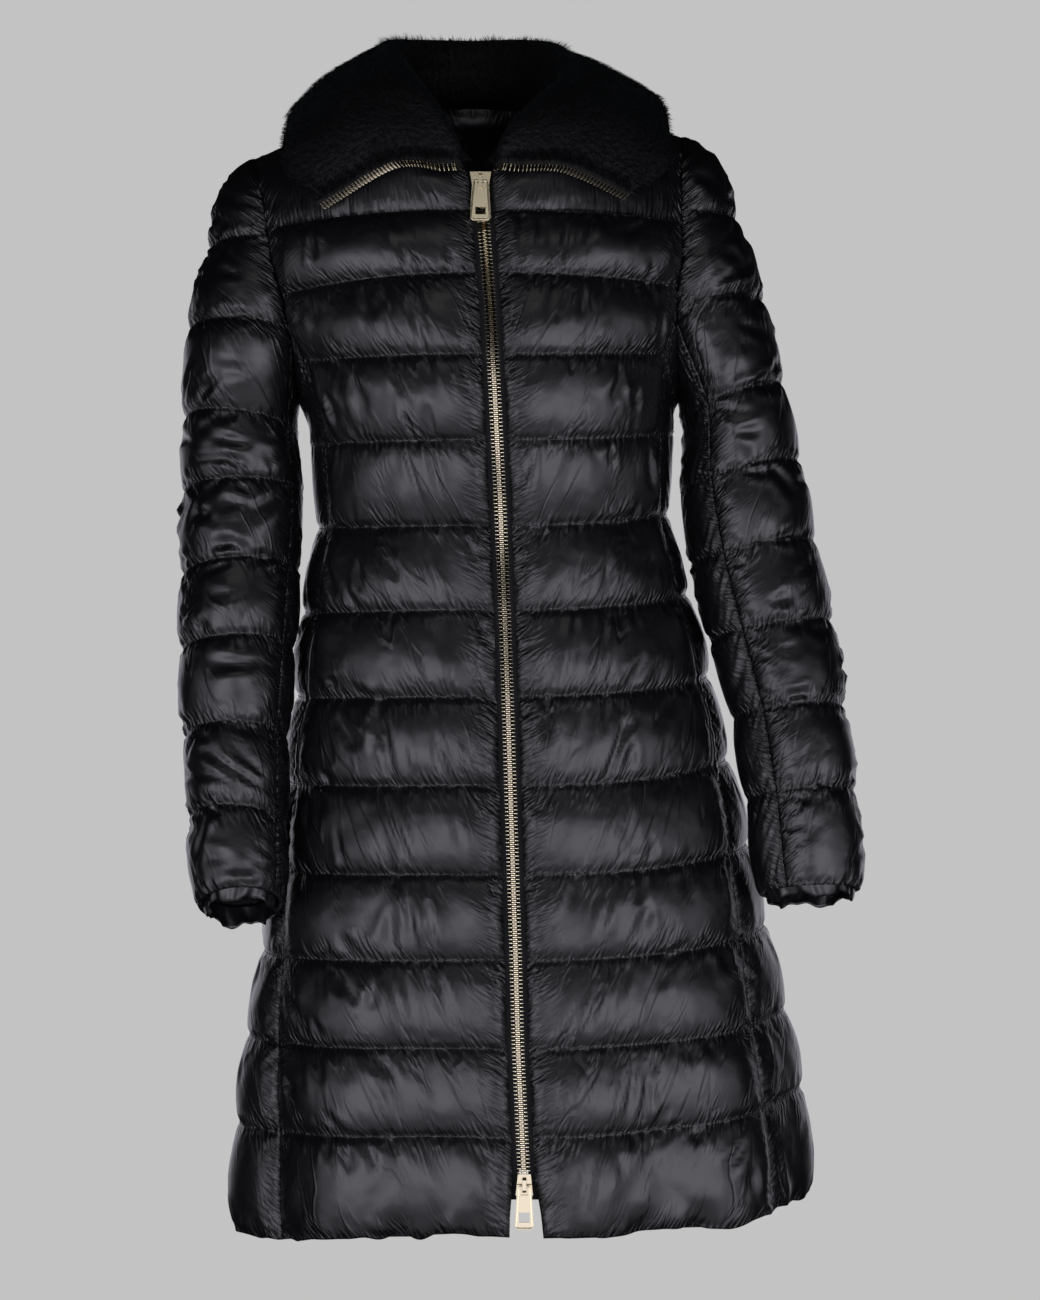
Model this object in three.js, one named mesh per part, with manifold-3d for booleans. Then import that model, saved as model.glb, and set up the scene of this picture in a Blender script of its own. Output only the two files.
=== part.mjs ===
import * as THREE from 'three';
import { mergeVertices } from 'three/addons/utils/BufferGeometryUtils.js';
import Module from 'manifold-3d';

// Long quilted winter coat with a folded fur collar, worn and zipped, as hollow cloth walls.
// Millimetres, +Z up, the front faces -Y and the wearer's left is +X.
// The origin is the middle of the neck opening, where the wearer holds the coat.

// Cloth
const wall = 3;            // padded cloth at a quilting line
const seamGap = 0.3;       // between two pieces at a seam
const armholeGap = 0.9;    // the same at the armhole, whose two sides have different rows
const bodyPuff = 7.5;      // how far a body channel swells
const sleevePuff = 5.5;
const seamValley = 18;     // a channel is flat again this close to a seam
const roundness = 2.25;    // exponent of the body rings, 2 is an ellipse

// Front zip, measured on the coat
const zipGap = 8.75;       // middle of the zip to the cloth on each side
const chainWidth = 10.1;
const chainThickness = 3;
const chainDepth = 2.1;    // chain face below the cloth face
const tapeWidth = 6;
const tapeThickness = 1;
const tapeDepth = wall + 1.6;
const topSliderZ = -68;
const bottomSliderZ = -880;
const chainTopZ = -76.9;
const chainBottomZ = -871.2;
const tabLength = 36;

// Body rings, one row for each quilting line from the neck down, the last one is the hem.
// front, left, right and back are the heights of the line; front and back depths go with them.
// seamLeft, seamRight and seamBack are where the panels meet, as angles from the front or back.
const bodyColumns = ['front', 'right', 'left', 'back', 'middleX', 'halfWidth', 'frontDepth', 'backDepth',
  'seamRight', 'seamLeft', 'seamBack'];
const bodyRows = [
  [-91, -104, -98, -96, 6, 188, 106, 92, 60, 66, 50],
  [-143, -158, -151, -152, 10, 176, 122, 106, 58, 66, 50],
  [-209, -213, -205, -212, 16, 161, 134, 112, 63.5, 64.5, 50],
  [-278, -283, -273, -282, 20, 153, 132, 108, 62.5, 65, 48],
  [-348, -353, -341, -352, 21, 147, 120, 101, 67.5, 72, 46],
  [-417, -424, -409, -422, 23, 161, 127, 112, 66.5, 71.5, 44],
  [-487, -495, -479, -492, 29, 173, 136, 124, 69.5, 70.5, 42],
  [-559, -567, -549, -564, 33, 185, 143, 134, 71, 69.5, 41],
  [-631, -640, -621, -636, 36, 200, 150, 142, 67, 64.5, 40],
  [-700, -711, -691, -706, 38.5, 212, 157, 150, 63.5, 61.5, 40],
  [-771, -781, -762, -777, 40, 226, 164, 157, 59.5, 58.7, 40],
  [-842, -855, -829, -850, 42, 236, 170, 164, 56.5, 58.7, 40],
  [-922, -946, -918, -938, 44, 243, 176, 170, 54.5, 58.5, 40],
];
const hemLevel = bodyRows.length;
const hemWaves = { count: 9, height: 5, phase: 0.6, fromLevel: 9 };

// Middle of the zip from the front, by height
const zipLine = [[-40, 10], [-60, 11], [-172, 20], [-250, 24], [-335, 28], [-420, 31.5], [-490, 34],
  [-700, 40.5], [-771, 42.4], [-870, 47], [-940, 50]];

// Neck opening and shoulders
const neck = { middleX: 5, middleY: -17, halfWidth: 72, frontDepth: 80, backDepth: 80,
  frontZ: -58, sideZ: 0, backZ: 8, shoulderAngle: 100 };
const neckGap = 10.6;      // the neckline starts this far from the middle of the zip

// Armholes: side is the direction from the middle, tip the end of the shoulder seam.
// x follows the armhole down from the tip; arc values are where the sleeve's quilting lines start.
const armholes = {
  right: { side: -1, tipZ: -41, bottomZ: -246, tipY: 3, frontDepth: 63, backDepth: 58,
    x: [[-41, -179], [-82, -170], [-119, -164], [-141, -159], [-165, -152], [-200, -146], [-246, -143]],
    frontArc: [32, 70, 113, 122], backArc: [32, 85, 127, 138] },
  left: { side: 1, tipZ: -23, bottomZ: -246, tipY: 3, frontDepth: 63, backDepth: 58,
    x: [[-23, 180], [-45, 179], [-128, 178], [-147, 175], [-165, 174], [-200, 175], [-246, 178]],
    frontArc: [32, 66, 105, 114], backArc: [32, 75, 114, 123] },
};
const seamLevel = 2.2;     // the princess seams and the sleeve seams start here on the armhole

// Sleeve rings, one row for each quilting line, the last one is the cuff
const sleeveColumns = ['outerX', 'outerZ', 'innerX', 'innerZ', 'y', 'halfDepth', 'tilt'];
const sleeves = {
  right: { frontSeam: 150, backSeam: 130, rows: [
    [-230, -119, -132, -122, -2, 60, 13],
    [-238, -189, -138, -196, -4, 61, 13],
    [-237.5, -261, -144, -272, -8, 60, 13],
    [-238.7, -323, -140, -322, -16, 57, 14],
    [-238.3, -393, -143, -386, -30, 54, 16],
    [-237.6, -456, -147, -451, -48, 50, 18],
    [-233, -525.6, -151.5, -525, -66, 47, 21],
    [-228.3, -592, -151.5, -597, -85, 45, 24],
    [-221.6, -663, -151.5, -659, -105, 42, 27],
  ] },
  left: { frontSeam: 122, backSeam: 130, rows: [
    [232.7, -94, 136, -102, -2, 60, 8],
    [251.5, -164, 156, -180, -4, 61, 8],
    [264, -232, 180, -262, -8, 60, 9],
    [277.7, -297, 180, -322, -14, 57, 10],
    [290.7, -364, 189, -384, -25, 54, 11],
    [303.5, -431, 205, -447, -38, 51, 12],
    [313, -502, 223.6, -511, -52, 48, 13],
    [321.6, -570.6, 234.5, -578.5, -66, 46, 14],
    [327, -652, 243.5, -656, -80, 43, 15],
  ] },
};
const cuffLevel = 9;

// Collar: one row for each station, from the front edge on the wearer's right round the back.
// neckAngle is the place on the neckline, stand is 1 where the collar stands up before it rolls.
const collarColumns = ['neckAngle', 'stand', 'rollX', 'rollY', 'rollZ', 'midX', 'midY', 'midZ',
  'edgeX', 'edgeY', 'edgeZ'];
const collarRows = [
  [-5, 0, -8, -107, -50, -62, -107, -50, -124, -91, -84],
  [-24, 0.5, -20, -100, -22, -82, -96, -22, -147, -76, -56],
  [-50, 0.9, -40, -80, 8, -98, -66, 4, -152, -54, -36],
  [-80, 1, -62, -38, 38, -112, -24, 20, -149, -14, -12],
  [-112, 1, -66, 6, 52, -106, 14, 28, -140, 24, -4],
  [-146, 1, -42, 46, 57, -68, 68, 36, -94, 84, -16],
  [180, 1, 3, 62, 58, 5, 86, 38, 7, 104, -20],
  [146, 1, 46, 46, 57, 72, 68, 36, 100, 84, -16],
  [112, 1, 75, 6, 48, 114, 12, 30, 148, 24, 4],
  [80, 1, 84, -34, 24, 126, -26, 16, 164, -12, 0],
  [50, 0.9, 64, -72, 0, 116, -64, -2, 168, -52, -28],
  [24, 0.5, 42, -98, -24, 100, -92, -22, 168, -74, -52],
  [14, 0, 30, -107, -50, 84, -106, -53, 140, -93, -78],
];
const collarWall = 2.5;
const collarLift = 1.1;    // from the neckline's cloth to the collar's first stitches
const furThickness = 11;
const rollRadius = 8;
const rollShape = { inside: 0.55, outside: 1.2, drop: 0.6, before: 0.6, after: 0.25 };
const collarZipWidth = 8.5;
const collarZipThickness = 1.6;
const collarZipStart = 3;  // the step of the collar's path where its zip half leaves the front zip

// Vectors as plain [x, y, z]
const add = (a, b, k = 1) => [a[0] + k * b[0], a[1] + k * b[1], a[2] + k * b[2]];
const sub = (a, b) => add(a, b, -1);
const mix = (a, b, t) => add(a, sub(b, a), t);
const cross = (a, b) => [a[1] * b[2] - a[2] * b[1], a[2] * b[0] - a[0] * b[2], a[0] * b[1] - a[1] * b[0]];
const length = (a) => Math.hypot(...a);
const unit = (a) => a.map((v) => v / (length(a) || 1));
const rad = (degrees) => degrees * Math.PI / 180;
const power = (v, e) => Math.sign(v) * Math.abs(v) ** e;
const clamp = (v, low, high) => Math.min(high, Math.max(low, v));
const ease = (v) => { const t = clamp(v, 0, 1); return t * t * (3 - 2 * t); };

// A smooth curve through the values at 0, 1, 2 and so on
function through(values, t) {
  const last = values.length - 1;
  const i = clamp(Math.floor(t), 0, last - 1);
  const f = t - i;
  const b = values[i];
  const c = values[i + 1];
  const a = values[i - 1] ?? 2 * b - c;
  const d = values[i + 2] ?? 2 * c - b;
  return b + 0.5 * f * (c - a + f * (2 * a - 5 * b + 4 * c - d + f * (3 * (b - c) + d - a)));
}

// Straight lines through [key, value] pairs with falling keys
function along(pairs, key) {
  const found = pairs.findIndex((pair) => pair[0] <= key);
  const at = found < 0 ? pairs.length - 1 : Math.max(found, 1);
  const [k0, v0] = pairs[at - 1];
  const [k1, v1] = pairs[at];
  return v0 + (v1 - v0) * (key - k0) / (k1 - k0);
}

// One row of a table at a level, as an object with the table's column names; level 1 is the first row
function rowAt(columns, rows, level) {
  const row = {};
  columns.forEach((name, i) => { row[name] = through(rows.map((r) => r[i]), level - 1); });
  return row;
}

// A point of the body at a level and an angle from the front, plus towards the wearer's left
function bodyPoint(level, degrees) {
  const row = rowAt(bodyColumns, bodyRows, level);
  const s = Math.sin(rad(degrees));
  const c = Math.cos(rad(degrees));
  const e = 2 / roundness;
  const wave = level > hemWaves.fromLevel
    ? hemWaves.height * ease((level - hemWaves.fromLevel) / (hemLevel - hemWaves.fromLevel))
      * Math.sin(rad(degrees) * hemWaves.count + hemWaves.phase) : 0;
  const depth = c > 0 ? row.frontDepth : row.backDepth;
  const z = (c > 0 ? row.front : row.back) * c * c + (s > 0 ? row.left : row.right) * s * s;
  return [row.middleX + (row.halfWidth + wave) * power(s, e), -(depth + wave) * power(c, e), z];
}

function zipAngle(level) {
  const row = rowAt(bodyColumns, bodyRows, level);
  const share = (along(zipLine, row.front) - row.middleX) / row.halfWidth;
  return Math.asin(power(share, roundness / 2)) * 180 / Math.PI;
}

// Neckline point at an angle from the front, with its outward normal
function neckPoint(degrees) {
  const s = Math.sin(rad(degrees));
  const c = Math.cos(rad(degrees));
  const depth = c > 0 ? neck.frontDepth : neck.backDepth;
  const end = c > 0 ? neck.frontZ : neck.backZ;
  return [neck.middleX + neck.halfWidth * s, neck.middleY - depth * c, neck.sideZ + (end - neck.sideZ) * c * c];
}

// The neckline's cloth faces forwards or back at the front and back, and mostly up at the side
const neckRise = (degrees) => rad(30 + 45 * Math.sin(rad(degrees)) ** 2);
function neckNormal(degrees) {
  const s = Math.sin(rad(degrees));
  const c = Math.cos(rad(degrees));
  const rise = neckRise(degrees);
  return [s * Math.cos(rise), -c * Math.cos(rise), Math.sin(rise)];
}

// The armhole loop: 0 is the shoulder tip, 180 the underarm, plus is the front
function armholePoint(hole, degrees) {
  const middleZ = (hole.tipZ + hole.bottomZ) / 2;
  const halfHeight = (hole.tipZ - hole.bottomZ) / 2;
  const z = middleZ + halfHeight * Math.cos(rad(degrees));
  const s = Math.sin(rad(degrees));
  const depth = s > 0 ? hole.frontDepth : hole.backDepth;
  const y = hole.tipY * (1 + Math.cos(rad(degrees))) / 2 - depth * s;
  return [along(hole.x, z), y, z];
}

// Straight out from the middle of the armhole
function holeRadius(hole, degrees) {
  const d = 4;
  const t = sub(armholePoint(hole, degrees + d), armholePoint(hole, degrees - d));
  return unit([0, t[2], -t[1]]);
}

// The sleeve's cloth faces that way, and turns to face the body only under the arm
function armholeNormal(hole, degrees) {
  return unit(add(holeRadius(hole, degrees), [-hole.side, 0, 0], 4 * Math.sin(rad(degrees / 2)) ** 6));
}

// The body's cloth turns from facing up at the shoulder tip to facing sideways under the arm
function bodyHoleNormal(hole, degrees) {
  return unit(add(holeRadius(hole, degrees), [hole.side, 0, 0], 4 * Math.sin(rad(degrees / 2)) ** 2));
}

// The angle on the armhole that has a given height
function armholeAngle(hole, z) {
  const middleZ = (hole.tipZ + hole.bottomZ) / 2;
  const halfHeight = (hole.tipZ - hole.bottomZ) / 2;
  return Math.acos(clamp((z - middleZ) / halfHeight, -1, 1)) * 180 / Math.PI;
}

// A body seam between front or back and side panel, from its start on the armhole to the hem
function bodySeam(name, isFront, level) {
  const hole = armholes[name];
  const column = isFront ? (name === 'left' ? 'seamLeft' : 'seamRight') : 'seamBack';
  const ringPoint = (at) => {
    const row = rowAt(bodyColumns, bodyRows, at);
    return bodyPoint(at, hole.side * (isFront ? row[column] : 180 - row[column]));
  };
  const start = armholePoint(hole, (isFront ? 1 : -1) * armholeAngle(hole, seamStartZ(name)));
  const fade = 1 - ease((level - seamLevel) / 1.6);
  return add(ringPoint(level), sub(start, ringPoint(seamLevel)), fade);
}

function seamStartZ(name) {
  return rowAt(bodyColumns, bodyRows, seamLevel)[name];
}

// The outer edge of the front or back panel: armhole down to the seam's start, then the seam
function panelEdge(name, isFront, level) {
  if (level >= seamLevel) return bodySeam(name, isFront, level);
  const hole = armholes[name];
  const z = level >= 1 ? rowAt(bodyColumns, bodyRows, level)[name]
    : bodyRows[0][bodyColumns.indexOf(name)];
  const angle = level >= 1 ? armholeAngle(hole, z) : armholeAngle(hole, z) * level;
  return armholePoint(hole, (isFront ? 1 : -1) * angle);
}

// Moves a row's points so that its ends sit on the seams, less and less towards the middle
function pinEnds(points, first, last) {
  const atFirst = sub(first, points[0]);
  const atLast = sub(last, points[points.length - 1]);
  return points.map((p, i) => {
    const t = i / (points.length - 1);
    return add(add(p, atFirst, (1 - t) ** 2), atLast, t * t);
  });
}

// Normals of a grid of points, from its neighbours; outwards is where sign says
function gridNormals(grid, sign) {
  return grid.map((row, i) => row.map((p, j) => {
    const down = sub(grid[Math.min(i + 1, grid.length - 1)][j], grid[Math.max(i - 1, 0)][j]);
    const across = sub(row[Math.min(j + 1, row.length - 1)], row[Math.max(j - 1, 0)]);
    return unit(cross(down, across).map((v) => v * sign));
  }));
}

// Closed wall between a fine outer grid and a coarser inner one. The keys say which outer and
// inner rows and columns go together, so that two pieces meet along a seam in the same pattern.
const evenKeys = (count) => Array.from({ length: count }, (v, i) => i / (count - 1));
function wallGeometry(outer, inner, keys = {}) {
  const rowKeys = keys.rows ?? [evenKeys(outer.length), evenKeys(inner.length)];
  const columnKeys = keys.columns ?? [evenKeys(outer[0].length), evenKeys(inner[0].length)];
  const points = [];
  const triangles = [];
  const number = (grid) => grid.map((row) => row.map((p) => points.push(p) - 1));
  const out = number(outer);
  const inn = number(inner);
  const surface = (grid, flip) => {
    for (let i = 0; i < grid.length - 1; i += 1) {
      for (let j = 0; j < grid[0].length - 1; j += 1) {
        const [a, b, c, d] = [grid[i][j], grid[i][j + 1], grid[i + 1][j + 1], grid[i + 1][j]];
        if (flip) triangles.push([a, c, d], [a, b, c]);
        else triangles.push([a, d, c], [a, c, b]);
      }
    }
  };
  surface(out, false);
  surface(inn, true);
  const backwards = (list) => [...list].reverse().map((key) => -key);
  const loopSides = (grid, k) => [
    [grid[0], columnKeys[k]],
    [grid.map((row) => row[row.length - 1]), rowKeys[k]],
    [[...grid[grid.length - 1]].reverse(), backwards(columnKeys[k])],
    [grid.map((row) => row[0]).reverse(), backwards(rowKeys[k])],
  ];
  const innerSides = loopSides(inn, 1);
  loopSides(out, 0).forEach((side, k) => stitch(side, innerSides[k], triangles));
  return solidGeometry(points, triangles);
}

// A strip of triangles between two lines of points with rising keys
function stitch([a, keysA], [b, keysB], triangles) {
  let i = 0;
  let j = 0;
  while (i < a.length - 1 || j < b.length - 1) {
    const stepA = j === b.length - 1
      || (i < a.length - 1 && keysA[i] + keysA[i + 1] < keysB[j] + keysB[j + 1] - 1e-9);
    if (stepA) {
      triangles.push([a[i], a[i + 1], b[j]]);
      i += 1;
    } else {
      triangles.push([b[j + 1], b[j], a[i]]);
      j += 1;
    }
  }
}

// Indexed geometry with its faces pointing out
function solidGeometry(points, triangles) {
  let volume = 0;
  triangles.forEach(([a, b, c]) => {
    const n = cross(points[b], points[c]);
    volume += points[a][0] * n[0] + points[a][1] * n[1] + points[a][2] * n[2];
  });
  const faces = volume > 0 ? triangles : triangles.map(([a, b, c]) => [a, c, b]);
  const geometry = new THREE.BufferGeometry();
  geometry.setAttribute('position', new THREE.Float32BufferAttribute(points.flat(), 3));
  geometry.setIndex(faces.flat());
  geometry.computeVertexNormals();
  return geometry;
}

// The swell of a quilted channel: 0 at its two lines, fullest a little below the middle
const swell = (v) => Math.sin(Math.PI * clamp(v, 0, 1) ** 1.12) ** 0.6;
const channelSteps = [0, 0.17, 0.5, 0.85];

// Levels for the rows of a panel, four to a channel
function levelsBetween(first, last) {
  const levels = [];
  for (let line = Math.floor(first); line < last; line += 1) {
    channelSteps.forEach((v) => { if (line + v >= first - 1e-9) levels.push(line + v); });
  }
  return [...levels, last];
}

// A quilted panel from its seam-level grid: raised outer points over a plain inside
function quiltedPanel({ base, normals, levels, columns, height, innerColumns }) {
  const last = columns.length - 1;
  const outer = base.map((row, i) => row.map((p, j) => {
    const edge = Math.min(length(sub(p, row[0])), length(sub(p, row[last])));
    const line = Math.floor(levels[i] + 1e-9);
    const fullness = swell(levels[i] - line) * clamp(edge / seamValley, 0, 1) ** 0.6;
    const isEnd = i === 0 || i === base.length - 1;
    return isEnd ? p : add(p, normals[i][j], height(levels[i], columns[j]) * fullness);
  }));
  const isPlain = (level) => Math.abs(level - Math.round(level)) < 1e-6 || level === seamLevel;
  const innerRows = levels.map((level, i) => i).filter((i) => isPlain(levels[i]));
  const inner = innerRows.map((i) => innerColumns.map((j) => add(base[i][j], normals[i][j], -wall)));
  return wallGeometry(outer, inner, { rows: [levels, innerRows.map((i) => levels[i])],
    columns: [columns, innerColumns.map((j) => columns[j])] });
}

// Pulls a grid's edges back by half the seam gap: along the cloth, and on the armhole towards
// the middle of the coat or away from it. first, last and top are the armhole direction in x,
// 0 for an edge with no armhole, or null for an edge with no seam.
function openSeams(base, normals, levels, first, last, top) {
  const moved = base.map((row) => row.map((p) => [...p]));
  const across = (i, j, next) => {
    const edge = sub(base[Math.min(i + 1, base.length - 1)][j], base[Math.max(i - 1, 0)][j]);
    const way = unit(cross(edge, normals[i][j]));
    const inwards = sub(base[i][next], base[i][j]);
    const facing = way[0] * inwards[0] + way[1] * inwards[1] + way[2] * inwards[2];
    const nearHole = 1 - ease((levels[i] - seamLevel) / 0.8);
    return add(base[i][j], way, Math.sign(facing) * (seamGap + armholeGap * nearHole) / 2);
  };
  const pull = (p, towards) => add(p, unit(sub(towards, p)), seamGap / 2);
  const shift = (p, direction) => add(p, [direction, 0, 0], armholeGap / 2);
  base.forEach((row, i) => {
    const n = row.length - 1;
    const onHole = levels[i] <= seamLevel;
    if (first !== null) moved[i][0] = onHole && first ? shift(row[0], first) : across(i, 0, 1);
    if (last !== null) moved[i][n] = onHole && last ? shift(row[n], last) : across(i, n, n - 1);
  });
  moved[0] = moved[0].map((p, j) => (top && !(first && j === 0) && !(last && j === base[0].length - 1)
    ? shift(p, top) : p));
  if (!top) moved[0] = moved[0].map((p, j) => pull(p, base[1][j]));
  return moved;
}

// Top edge of the front or back panels: neckline, then shoulder seam to the tip
function topEdge(name, isFront, share, neckShare) {
  const hole = armholes[name];
  const end = hole.side * neck.shoulderAngle;
  if (share <= neckShare) {
    const from = isFront ? zipNeckAngle(name) : 180 * hole.side;
    return neckPoint(from + (end - from) * share / neckShare);
  }
  return mix(neckPoint(end), armholePoint(hole, 0), (share - neckShare) / (1 - neckShare));
}

function topNormal(name, isFront, share, neckShare) {
  const hole = armholes[name];
  const end = hole.side * neck.shoulderAngle;
  if (share < neckShare) {
    const from = isFront ? zipNeckAngle(name) : 180 * hole.side;
    return neckNormal(from + (end - from) * share / neckShare);
  }
  const seam = sub(armholePoint(hole, 0), neckPoint(end));
  return unit([-seam[2] * hole.side, 0, Math.abs(seam[0])]);
}

function zipNeckAngle(name) {
  const x = along(zipLine, neck.frontZ) + armholes[name].side * neckGap;
  return Math.asin((x - neck.middleX) / neck.halfWidth) * 180 / Math.PI;
}

// Half the opening between the front panels, wider at the neck and in the vent
function zipOpening(level) {
  const atNeck = (neckGap - zipGap) * (1 - ease(level / 0.8));
  const atVent = 5 * ease((level - 12.3) / (hemLevel - 12.3));
  return zipGap + atNeck + atVent;
}

// The seam-level middle of the zip at a level
function zipPoint(level) {
  if (level >= 1) return bodyPoint(level, zipAngle(level));
  const low = bodyPoint(1, zipAngle(1));
  const x = along(zipLine, neck.frontZ);
  const top = neckPoint(Math.asin((x - neck.middleX) / neck.halfWidth) * 180 / Math.PI);
  return shoulderArc(low, top, 1 - level, neckTurn);
}

// From a point of the first quilting line up and over to the top edge, turning through an angle
function shoulderArc(low, top, share, turn) {
  const a = share * rad(turn);
  const forward = (1 - Math.cos(a)) / (1 - Math.cos(rad(turn)));
  const up = Math.sin(a) / Math.sin(rad(turn));
  return [low[0] + (top[0] - low[0]) * share, low[1] + (top[1] - low[1]) * forward,
    low[2] + (top[2] - low[2]) * up];
}

// The turn of that arc: little at the neck's front and back, a quarter circle at the shoulder
const neckTurn = 40;
const shoulderTurn = 88;
const turnAt = (share, neckShare) => neckTurn + (shoulderTurn - neckTurn) * ease(share / neckShare);

// Seam-level grid of a front panel, from the zip to the armhole or the seam
const frontColumns = [0, 0.1, 0.2, 0.3, 0.4, 0.55, 0.7, 0.86, 1];
const frontNeckShare = 0.4;
function frontGrid(name, levels) {
  const { side } = armholes[name];
  const ringRow = (level) => {
    const start = zipAngle(level);
    const row = rowAt(bodyColumns, bodyRows, level);
    const end = side * (name === 'left' ? row.seamLeft : row.seamRight);
    const edge = panelEdge(name, true, level);
    const zip = add(zipPoint(level), [side * zipOpening(level), 0, 0]);
    return pinEnds(frontColumns.map((s) => bodyPoint(level, start + (end - start) * s)), zip, edge);
  };
  return levels.map((level) => {
    if (level >= 1) return ringRow(level);
    const low = ringRow(1);
    const arc = low.map((p, j) => shoulderArc(p, topEdge(name, true, frontColumns[j], frontNeckShare),
      1 - level, turnAt(frontColumns[j], frontNeckShare)));
    return level === 0 ? arc : pinEnds(arc, add(zipPoint(level), [side * zipOpening(level), 0, 0]),
      panelEdge(name, true, level));
  });
}

function frontPanel(name) {
  const levels = levelsBetween(0, hemLevel);
  const { side } = armholes[name];
  const grid = frontGrid(name, levels);
  const normals = gridNormals(grid, side);
  levels.forEach((level, i) => { normals[i][frontColumns.length - 1] = edgeNormal(name, true, level); });
  normals[0] = frontColumns.map((s) => topNormal(name, true, s, frontNeckShare));
  const lastColumn = frontColumns.length - 1;
  return quiltedPanel({ base: openSeams(grid, normals, levels, null, -side, 0), normals, levels, columns: frontColumns,
    height: (level) => bodyPuff * (level < 1 ? 0.75 : 1), innerColumns: [0, 1, 2, 3, 4, 6, lastColumn] });
}

// The normal on the outer edge of a front or back panel, shared with the piece beyond the seam
function edgeNormal(name, isFront, level) {
  if (level < seamLevel) {
    const hole = armholes[name];
    const z = bodyRows[0][bodyColumns.indexOf(name)];
    const angle = level >= 1 ? armholeAngle(hole, rowAt(bodyColumns, bodyRows, level)[name])
      : armholeAngle(hole, z) * level;
    return bodyHoleNormal(hole, (isFront ? 1 : -1) * angle);
  }
  const d = 0.05;
  const { side } = armholes[name];
  const p = bodySeam(name, isFront, level);
  const high = bodySeam(name, isFront, Math.max(level - d, seamLevel));
  const low = bodySeam(name, isFront, Math.min(level + d, hemLevel));
  const row = rowAt(bodyColumns, bodyRows, level);
  const seamAngle = isFront ? (name === 'left' ? row.seamLeft : row.seamRight) : 180 - row.seamBack;
  const round = sub(bodyPoint(level, side * (seamAngle + 1)), bodyPoint(level, side * (seamAngle - 1)));
  const n = unit(cross(sub(low, high), round));
  const outward = [p[0] - row.middleX, p[1], 0];
  const facing = n[0] * outward[0] + n[1] * outward[1];
  const ringNormal = facing > 0 ? n : n.map((v) => -v);
  if (level > seamLevel + 0.5) return ringNormal;
  const holeNormal = bodyHoleNormal(armholes[name], (isFront ? 1 : -1)
    * armholeAngle(armholes[name], seamStartZ(name)));
  return unit(mix(holeNormal, ringNormal, ease((level - seamLevel) / 0.5)));
}

// Back panel, from the seam on the wearer's right to the one on the left
const backHalf = [0, 0.12, 0.24, 0.36, 0.48, 0.64, 0.82, 1];
const backNeckShare = 0.48;
function backPanel() {
  const levels = levelsBetween(0, hemLevel);
  const half = (name, level) => {
    const { side } = armholes[name];
    const row = rowAt(bodyColumns, bodyRows, Math.max(level, 1));
    const ringRow = backHalf.map((s) => bodyPoint(Math.max(level, 1), side * (180 - row.seamBack * s)));
    const pinned = pinEnds(ringRow, ringRow[0], panelEdge(name, false, Math.max(level, 1)));
    if (level >= 1) return pinned;
    const arc = pinned.map((p, j) => shoulderArc(p, topEdge(name, false, backHalf[j], backNeckShare),
      1 - level, turnAt(backHalf[j], backNeckShare)));
    return level === 0 ? arc : pinEnds(arc, arc[0], panelEdge(name, false, level));
  };
  const whole = (make) => [...make('right').reverse(), ...make('left').slice(1)];
  const grid = levels.map((level) => whole((name) => half(name, level)));
  const normals = gridNormals(grid, -1);
  const columns = [...backHalf].reverse().map((s) => -s).concat(backHalf.slice(1));
  const last = columns.length - 1;
  levels.forEach((level, i) => {
    normals[i][0] = edgeNormal('right', false, level);
    normals[i][last] = edgeNormal('left', false, level);
  });
  normals[0] = whole((name) => backHalf.map((s) => topNormal(name, false, s, backNeckShare)));
  return quiltedPanel({ base: openSeams(grid, normals, levels, 1, -1, 0), normals, levels, columns,
    height: (level) => bodyPuff * (level < 1 ? 0.75 : 1), innerColumns: [0, 1, 3, 4, 5, 6, 7, 8, 9, 10, 11, 13, last] });
}

// Side panel between the two body seams, under the armhole
const sideColumns = [0, 0.14, 0.32, 0.5, 0.68, 0.86, 1];
function sidePanel(name) {
  const hole = armholes[name];
  const levels = levelsBetween(seamLevel, hemLevel);
  const joinLevel = 4;
  const corner = armholeAngle(hole, seamStartZ(name));
  const holeAngle = (s) => corner + (360 - 2 * corner) * s;
  const ringRow = (level) => {
    const row = rowAt(bodyColumns, bodyRows, level);
    const start = name === 'left' ? row.seamLeft : row.seamRight;
    return sideColumns.map((s) => bodyPoint(level, hole.side * (start + (180 - row.seamBack - start) * s)));
  };
  const grid = levels.map((level) => {
    const share = (level - seamLevel) / (joinLevel - seamLevel);
    const raw = share >= 1 ? ringRow(level)
      : ringRow(joinLevel).map((p, j) => mix(armholePoint(hole, holeAngle(sideColumns[j])), p, share));
    return pinEnds(raw, bodySeam(name, true, level), bodySeam(name, false, level));
  });
  const normals = gridNormals(grid, hole.side);
  const last = sideColumns.length - 1;
  levels.forEach((level, i) => {
    normals[i][0] = edgeNormal(name, true, level);
    normals[i][last] = edgeNormal(name, false, level);
  });
  normals[0] = sideColumns.map((s) => bodyHoleNormal(hole, holeAngle(s)));
  const besideSleeve = (level) => ease((level - 3.2) / 2.6);
  return quiltedPanel({ base: openSeams(grid, normals, levels, 0, 0, -hole.side), normals, levels, columns: sideColumns,
    height: (level) => 0.85 * bodyPuff * besideSleeve(level), innerColumns: [0, 1, 3, 5, last] });
}

// Sleeves
function sleevePoint(name, level, degrees) {
  const row = rowAt(sleeveColumns, sleeves[name].rows, level);
  const outer = [row.outerX, row.y, row.outerZ];
  const inner = [row.innerX, row.y, row.innerZ];
  const middle = mix(outer, inner, 0.5);
  const forward = [0, -Math.cos(rad(row.tilt)), Math.sin(rad(row.tilt))];
  const p = add(middle, sub(outer, middle), Math.cos(rad(degrees)));
  return add(p, forward, row.halfDepth * Math.sin(rad(degrees)));
}

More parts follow.
